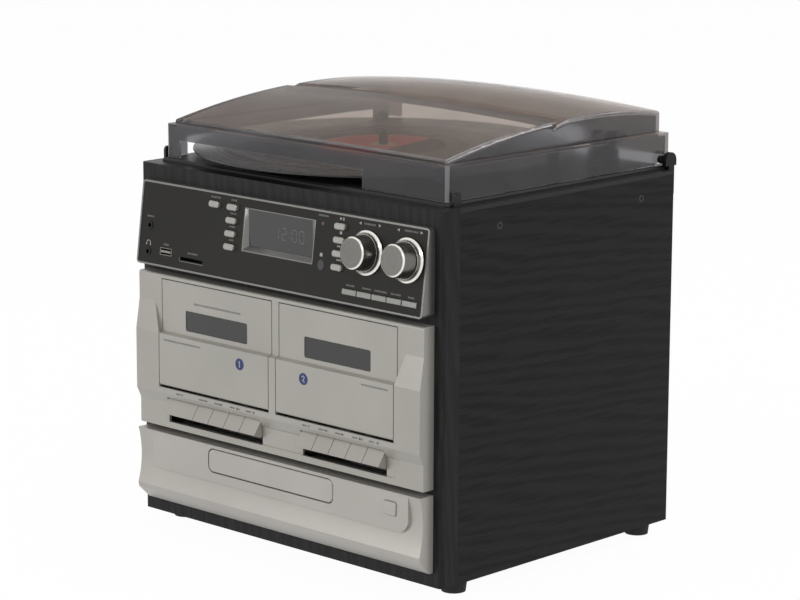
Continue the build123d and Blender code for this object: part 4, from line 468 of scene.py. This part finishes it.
nodes["display_bezel"].data.materials[0] = bezel_silver
nodes["panel_surround"].data.materials[0] = trim_silver
for name in nodes:
    if name.endswith("_key"):
        nodes[name].data.materials[0] = key_silver
    if name.startswith("preset_button"):
        nodes[name].data.materials[0] = preset_silver
# the CD fascia, its drawer and the eject button take the lighter silver copy, painted light
for name in ("cd_fascia", "cd_drawer", "eject_button"):
    nodes[name].data.materials[0] = lit_low_silver
nodes["screws"].data.materials[0] = bare_metal("blackened_screw", shade(66, 66, 68), roughness=0.4)


def second_finish(name, material, chosen):
    """Gives a node's polygons that are chosen by their centre and normal a finish of their own."""
    mesh = nodes[name].data
    mesh.materials.append(material)
    index = len(mesh.materials) - 1
    for polygon in mesh.polygons:
        if chosen(polygon.center, polygon.normal):
            polygon.material_index = index


# the slanted edges of the knobs get a much lighter metal than their fronts, a painted highlight
RIM_LEAST, RIM_MOST = 0.35, 0.95  # how far their normals follow the panel's
# painted highlight: a much lighter copy of the knobs' metal
highlight_rim_metal = bare_metal("painted_highlight_rim", shade(232, 230, 224), roughness=0.2)


def on_rim(centre, normal):
    """Faces that slant between a knob's side and its front."""
    return RIM_LEAST < normal.dot(panel_normal) < RIM_MOST


for name in KNOBS:
    second_finish(name, highlight_rim_metal, on_rim)

# The front and side walls of the dust cover get a rougher copy of its acrylic in a darker colour, which is
# painted shade, and its rounded edges get a much lighter, less clear copy, which is a painted highlight. The
# faces are told apart by
# their normals: its z on a wall, its x and y on a wall's corner, its z and x on the slanted edges of the top,
# and its y on the back.
WALL_Z = 0.25
CORNER_XY = 0.25
SLANT_Z = 0.92
SLANT_X = 0.38
BACK_Y = 0.9
BACK_WALL_DEPTH = 0.012
# painted shade: the walls' acrylic is darker than the top's
shaded_smoked_wall = smoked_acrylic(
    "shaded_smoked_wall", shade(120, 119, 123), shade(132, 131, 135),
    ior=1.38, transmission=0.88, roughness=0.15)
# painted highlight: the rounded edges' acrylic is much lighter than the walls'
smoked_round_highlight = smoked_acrylic(
    "smoked_round_highlight", shade(176, 175, 180), shade(190, 189, 194),
    ior=1.45, transmission=0.6, roughness=0.12)
cover_back = max(polygon.center.y for polygon in nodes["dust_cover"].data.polygons)


def on_wall(centre, normal):
    """Front and side walls; the back one is as clear as the top."""
    on_back = abs(normal.y) > BACK_Y and centre.y > cover_back - BACK_WALL_DEPTH
    return abs(normal.z) < WALL_Z and not on_back


def on_round(centre, normal):
    """Rounded corners of the walls, and the slanted edges along the sides of the top."""
    on_corner = abs(normal.z) < WALL_Z and min(abs(normal.x), abs(normal.y)) > CORNER_XY
    return on_corner or (WALL_Z < abs(normal.z) < SLANT_Z and abs(normal.x) > SLANT_X)


second_finish("dust_cover", shaded_smoked_wall, on_wall)
second_finish("dust_cover", smoked_round_highlight, on_round)

# the record's label
LABEL_RADIUS = 0.0502
LABEL_DEPTH = 0.0003  # how far below the record's highest point a face may lie
label_z = record_high.z - LABEL_DEPTH


def on_label(centre, normal):
    """Faces on top of the record, within the label's edge."""
    return centre.z > label_z and (centre.xy - spindle.xy).length < LABEL_RADIUS


second_finish("record", record_label(), on_label)

# the jacks and the card socket are black inside their openings, and the USB socket is a metal shell
USB_LEFT_MM, USB_RIGHT_MM = -130.0, -113.0


def not_usb(centre, normal):
    """Faces of every socket but the USB one."""
    return not USB_LEFT_MM < (centre.x - centre_x) / MM < USB_RIGHT_MM


nodes["front_sockets"].data.materials[0] = bare_metal("usb_shell", shade(128, 126, 120), roughness=0.3)
second_finish("front_sockets", black_parts, not_usb)

# dark windows in the cassette doors
WINDOW_HALF_WIDTH = 0.0349
WINDOW_BOTTOM = 0.1556
WINDOW_TOP = 0.1722
door_window = dark_window("door_window", shade(26, 25, 24), roughness=0.2)
for name in DOORS:
    middle = middle_x(name)

    def in_window(centre, normal):
        """Front faces of this door within its window."""
        inside = abs(centre.x - middle) < WINDOW_HALF_WIDTH and WINDOW_BOTTOM < centre.z - base_z < WINDOW_TOP
        return inside and normal.y < -0.9

    second_finish(name, door_window, in_window)

# ---------------------------------------------------------------- printed marks

INK_THICKNESS = 0.00012
INK_SINK = 0.00003
DISC_SIDES = 28


def around(x, y, radius, angles):
    """Points on a circle at these angles, in radians."""
    return [(x + radius * math.cos(a), y + radius * math.sin(a)) for a in angles]


class Print:
    """Flat raised shapes on faces of the part, collected into one piece. Their sizes are in millimetres."""

    def __init__(self):
        self.vertices = []
        self.faces = []

    def shape(self, place, outline):
        """A closed outline of (x, y) points, counter-clockwise, on a face's frame."""
        start = len(self.vertices)
        count = len(outline)
        for lift in (-INK_SINK, INK_THICKNESS):
            for x, y in outline:
                self.vertices.append(place @ Vector((x * MM, y * MM, lift)))
        self.faces.append([start + count + n for n in range(count)])
        self.faces.append([start + n for n in reversed(range(count))])
        for n in range(count):
            after = (n + 1) % count
            self.faces.append([start + n, start + after, start + count + after, start + count + n])

    def bar(self, place, x, y, width, height):
        """A rectangle about its middle."""
        left, right = x - width / 2, x + width / 2
        low, high = y - height / 2, y + height / 2
        self.shape(place, [(left, low), (right, low), (right, high), (left, high)])

    def arrow(self, place, x, y, size, side):
        """A solid triangle that points right (side 1) or left (side -1)."""
        half = size / 2
        outline = [(x - side * half, y - half), (x + side * half, y), (x - side * half, y + half)]
        self.shape(place, outline if side > 0 else outline[::-1])

    def up_arrow(self, place, x, y, size):
        """A solid triangle that points up."""
        self.shape(place, [(x - size / 2, y - size / 3), (x + size / 2, y - size / 3), (x, y + size / 2)])

    def disc(self, place, x, y, radius):
        """A round spot."""
        self.shape(place, around(x, y, radius, [2 * math.pi * n / DISC_SIDES for n in range(DISC_SIDES)]))

    def arc(self, place, x, y, radius, width, start, end, sides=12):
        """A band along a circle, from one angle to another, in degrees."""
        angles = [math.radians(start + (end - start) * n / sides) for n in range(sides + 1)]
        outer = around(x, y, radius + width / 2, angles)
        inner = around(x, y, radius - width / 2, angles)
        for n in range(sides):
            self.shape(place, [outer[n], outer[n + 1], inner[n + 1], inner[n]])

    def strokes(self, place, x, y, width, height):
        """A row of small upright strokes of uneven width, where a product has a caption."""
        at = x - width / 2
        while at < x + width / 2:
            stroke = height * random.uniform(0.35, 0.8)
            self.bar(place, at + stroke / 2, y, stroke * 0.8, height * random.uniform(0.75, 1.0))
            at += stroke + height * 0.25

    def make(self, name, material, body):
        """The piece, riding a body."""
        mesh = bpy.data.meshes.new(name)
        mesh.from_pydata(self.vertices, [], self.faces)
        mesh.validate()
        mesh.materials.append(material)
        piece = bpy.data.objects.new(name, mesh)
        bpy.context.scene.collection.objects.link(piece)
        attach(piece, body)


# which segments each figure lights, and where each lies: steps across and up, and whether it is level
SEGMENTS = {"0": "abcdef", "1": "bc", "2": "abged"}
SEGMENT_BARS = {
    "a": (0, 1, True), "d": (0, -1, True), "g": (0, 0, True),
    "f": (-1, 0.5, False), "b": (1, 0.5, False), "e": (-1, -0.5, False), "c": (1, -0.5, False),
}


def digit(sheet, place, x, y, width, height, stroke, figure):
    """A seven-segment figure, added to a sheet of print."""
    for segment in SEGMENTS[figure]:
        across, rise, level = SEGMENT_BARS[segment]
        size = (width - stroke, stroke) if level else (stroke, height / 2 - stroke)
        sheet.bar(place, x + across * width / 2, y + rise * height / 2, *size)


white_ink = ink("white_ink", shade(168, 166, 161))
grey_ink = ink("grey_ink", shade(116, 114, 110))
dark_ink = ink("dark_ink", shade(70, 68, 66))
blue_ink = ink("blue_disc", shade(24, 42, 108), roughness=0.35)
display_ink = ink("display_ink", shade(98, 96, 101), roughness=0.2)
lamp_window = dark_window("lamp_window", shade(96, 60, 58), roughness=0.15)

# control panel: greeked captions, each by its x from the centre line, its rise up the panel and its width
CAPTION_MM = 1.5
captions = Print()
for x, rise, width in (
    (-70.1, 61.6, 11.0),
    (-50.0, 61.6, 6.0), (-50.0, 51.4, 6.0), (-50.0, 41.2, 5.5), (-50.0, 31.0, 3.5),
    (-142.3, 38.0, 8.0), (-121.9, 18.0, 6.0), (-91.0, 14.6, 11.0), (46.5, 62.0, 10.0),
    (94.4, 61.4, 11.0), (136.0, 61.6, 13.0),
    (80.3, 14.2, 8.5), (97.0, 14.2, 9.0), (111.0, 14.2, 12.0), (126.5, 14.2, 9.5), (141.5, 14.0, 5.5),
):
    captions.strokes(on_panel(x, rise), 0, 0, width, CAPTION_MM)
captions.make("panel_captions", grey_ink, "cabinet")

# signs: arrows beside the knobs, then play, stop, skip back and forward, a sensor and headphones
signs = Print()
for x, rise, side in ((84.6, 61.2, -1), (104.6, 61.6, 1), (123.2, 61.2, -1), (146.4, 61.8, 1)):
    signs.arrow(on_panel(x, rise), 0, 0, 2.3, side)
SIGN_X_MM = 65.9
play_at = on_panel(SIGN_X_MM, 61.9)
signs.arrow(play_at, -0.9, 0, 2.4, 1)
for x in (1.2, 2.1):
    signs.bar(play_at, x, 0, 0.5, 2.4)
signs.bar(on_panel(SIGN_X_MM, 51.5), 0, 0, 2.2, 2.2)
for rise, side in ((41.3, -1), (31.2, 1)):
    spot = on_panel(SIGN_X_MM, rise)
    for x in (-1.0, 0.9):
        signs.arrow(spot, x, 0, 1.9, side)
    signs.bar(spot, side * 2.3, 0, 0.5, 1.9)
signs.bar(on_panel(47.6, 32.8), 0, 0, 2.6, 2.6)
phones = on_panel(-142.3, 17.4)
signs.arc(phones, 0, -0.6, 2.2, 0.5, 0, 180)
for x in (-2.2, 2.2):
    signs.bar(phones, x, -1.3, 0.9, 1.7)
signs.make("panel_signs", white_ink, "cabinet")

# two edges of a frame round the card slot
card = Print()
card.bar(on_panel(-92.1, 7.4), 0, 0, 27.0, 0.45)
card.bar(on_panel(-105.6, 8.8), 0, 0, 0.45, 3.2)
card.make("card_outline", grey_ink, "cabinet")

# standby lamp
lamp = Print()
lamp.disc(on_panel(46.5, 56.0), 0, 0, 1.3)
lamp.make("standby_lamp", lamp_window, "cabinet")

# figures of the display, faint behind its glass
FIGURES_X_MM = 9.0
FIGURES_Z = 0.2455
FIGURE_SIZE_MM = (4.6, 9.0, 0.9)  # width, height and stroke
figures = Print()
glass_spot = on_front("display_lens", centre_x + FIGURES_X_MM * MM, base_z + FIGURES_Z)
for x, figure in ((-12.5, "1"), (-4.5, "2"), (6.5, "0"), (14.5, "0")):
    digit(figures, glass_spot, x, 0, *FIGURE_SIZE_MM, figure)
for y in (-1.8, 1.8):
    figures.bar(glass_spot, 1.0, y, 0.8, 0.8)
figures.make("display_figures", display_ink, "cabinet")

# cassette doors: a blue disc with the deck's number, a greeked caption, and on the first door one more
DISC_RADIUS_MM = 4.6
DISC_Z = 0.1402
BAND_Z = 0.1462
TOP_BAND_Z = 0.1785
for number, name, disc_x, band_x, band_width in (
    (1, DOORS[0], -35.5, -101.0, 42.0),
    (2, DOORS[1], 34.1, 108.0, 26.0),
):
    body = f"door_{number}"
    spot = on_front(name, centre_x + disc_x * MM, base_z + DISC_Z)
    disc = Print()
    disc.disc(spot, 0, 0, DISC_RADIUS_MM)
    disc.make(f"deck_{number}_disc", blue_ink, body)
    raised = spot @ Matrix.Translation((0, 0, INK_THICKNESS))
    numeral = Print()
    if number == 1:
        numeral.bar(raised, 0.2, 0, 0.9, 5.0)
        numeral.shape(raised, [(-1.1, 1.0), (-0.25, 1.6), (-0.25, 2.5), (-1.1, 1.9)])
    else:
        numeral.arc(raised, 0, 1.1, 1.2, 0.8, -20, 180, sides=10)
        numeral.shape(raised, [(-1.6, -2.5), (-0.5, -2.5), (1.55, 0.7), (0.75, 1.0), (-1.6, -1.8)])
        numeral.bar(raised, 0.05, -2.1, 3.3, 0.8)
    numeral.make(f"deck_{number}_numeral", white_ink, body)
    door_captions = Print()
    door_captions.strokes(on_front(name, centre_x + band_x * MM, base_z + BAND_Z), 0, 0, band_width, 1.5)
    if number == 1:
        top_x = middle_x(name) + 1.0 * MM
        door_captions.strokes(on_front(name, top_x, base_z + TOP_BAND_Z), 0, 0, 52.0, 1.7)
    door_captions.make(f"deck_{number}_captions", grey_ink, body)

# above the piano keys: play, rewind, forward, stop with eject, and pause, each after a greeked caption
keys = Print()
KEY_SIGN_Z = 0.1046
KEY_SIGN_MM = 1.7
for name in sorted(nodes):
    if not name.endswith("_key"):
        continue
    spot = on_front("tape_fascia", middle_x(name), base_z + KEY_SIGN_Z)
    action = name.split("_")[2]
    if action == "play":
        keys.arrow(spot, 2.4, 0, KEY_SIGN_MM, 1)
    elif action in ("rewind", "forward"):
        for x in (1.8, 3.4):
            keys.arrow(spot, x, 0, KEY_SIGN_MM, 1 if action == "forward" else -1)
    elif action == "stop":
        keys.bar(spot, 3.2, 0, KEY_SIGN_MM, KEY_SIGN_MM)
        keys.up_arrow(spot, 5.6, 0, KEY_SIGN_MM)
    elif action == "pause":
        for x in (3.4, 4.4):
            keys.bar(spot, x, 0, 0.6, KEY_SIGN_MM)
    keys.strokes(spot, -2.4, 0, 5.0, 1.2)
keys.make("key_signs", dark_ink, "cabinet")

# ---------------------------------------------------------------- floor, sky and lamps

FLOOR_SIZE = 8.0
FLOOR_TONE = 0.6
GLOW_STRENGTH = 1.03
GLOW_SHARE = 0.94
AMBIENT_STRENGTH = 0.38
BACKDROP_STRENGTH = 1.0
WHITE = (1, 1, 1, 1)

floor_mesh = bpy.data.meshes.new("floor")
half = FLOOR_SIZE / 2
corners = [(-half, -half, 0), (half, -half, 0), (half, half, 0), (-half, half, 0)]
floor_mesh.from_pydata(corners, [], [(0, 1, 2, 3)])
floor = bpy.data.objects.new("floor", floor_mesh)
bpy.context.scene.collection.objects.link(floor)


def seen_directly(tree):
    """1 for rays from the camera, from a gloss or through glass, and 0 for diffuse light."""
    path = tree.nodes.new("ShaderNodeLightPath")
    first = maths(tree, "MAXIMUM", path.outputs["Is Camera Ray"], path.outputs["Is Glossy Ray"])
    return maths(tree, "MAXIMUM", first, path.outputs["Is Transmission Ray"])


floor_material = bpy.data.materials.new("floor")
floor_material.use_nodes = True
tree = floor_material.node_tree
shader = tree.nodes["Principled BSDF"]
set_inputs(shader, Base_Color=(FLOOR_TONE, FLOOR_TONE, FLOOR_TONE, 1.0), Roughness=0.9)
glow = node(tree, "ShaderNodeEmission", {"Color": WHITE, "Strength": GLOW_STRENGTH})
share = maths(tree, "MULTIPLY", seen_directly(tree), GLOW_SHARE)
blend = node(tree, "ShaderNodeMixShader", {0: share, 1: shader.outputs[0], 2: glow.outputs[0]})
tree.links.new(blend.outputs[0], tree.nodes["Material Output"].inputs["Surface"])
floor_mesh.materials.append(floor_material)

world = bpy.data.worlds.new("studio")
bpy.context.scene.world = world
world.use_nodes = True
tree = world.node_tree
tree.nodes.clear()
ambient = node(tree, "ShaderNodeBackground", {"Color": WHITE, "Strength": AMBIENT_STRENGTH})
backdrop = node(tree, "ShaderNodeBackground", {"Color": WHITE, "Strength": BACKDROP_STRENGTH})
direct = seen_directly(tree)
sky = node(tree, "ShaderNodeMixShader", {0: direct, 1: ambient.outputs[0], 2: backdrop.outputs[0]})
output = tree.nodes.new("ShaderNodeOutputWorld")
tree.links.new(sky.outputs[0], output.inputs["Surface"])

LAMP_TARGET = Vector((centre_x, 0.0, 0.15))


def lamp_box(name, spot, size, watts):
    """A square soft box that looks at the middle of the cabinet."""
    light = bpy.data.lights.new(name, "AREA")
    light.shape = "SQUARE"
    light.size = size
    light.energy = watts
    made = bpy.data.objects.new(name, light)
    made.location = spot
    made.rotation_euler = (LAMP_TARGET - Vector(spot)).to_track_quat("-Z", "Y").to_euler()
    bpy.context.scene.collection.objects.link(made)


lamp_box("key_box", (-0.9, -2.6, 0.75), 1.1, 23)
lamp_box("side_box", (2.9, -0.6, 1.0), 1.4, 11)
lamp_box("top_box", (0.2, 0.6, 2.6), 1.6, 20)
lamp_box("glint_box", (1.3, -2.1, 1.9), 0.25, 6)

# ---------------------------------------------------------------- camera

# worked out from the straight edges of the cabinet in the photograph; the offset is from the lower left
# corner of the front frame
CAMERA_OFFSET = Vector((1.748379, -1.540620, 0.653463))
AZIMUTH, ELEVATION, ROLL = (math.radians(a) for a in (43.594, 11.749, 0.2374))
LENS_MM = 134.02
SENSOR_MM = 36.0
SHIFT_X = 0.0009

back = Vector((
    math.sin(AZIMUTH) * math.cos(ELEVATION), -math.cos(AZIMUTH) * math.cos(ELEVATION), math.sin(ELEVATION)))
level = (-back).cross(Vector((0, 0, 1))).normalized()
rise = level.cross(-back)
right = level * math.cos(ROLL) + rise * math.sin(ROLL)
up = rise * math.cos(ROLL) - level * math.sin(ROLL)
camera_data = bpy.data.cameras.new("camera")
camera_data.lens = LENS_MM
camera_data.shift_x = SHIFT_X
camera_data.sensor_width = SENSOR_MM
camera_data.sensor_fit = "HORIZONTAL"
camera = bpy.data.objects.new("camera", camera_data)
corner = Vector((frame_low.x, front_y, base_z))
camera.matrix_world = axes_at(corner + CAMERA_OFFSET, right, up, back)
bpy.context.scene.collection.objects.link(camera)
bpy.context.scene.camera = camera
bpy.context.scene.view_settings.view_transform = "Standard"
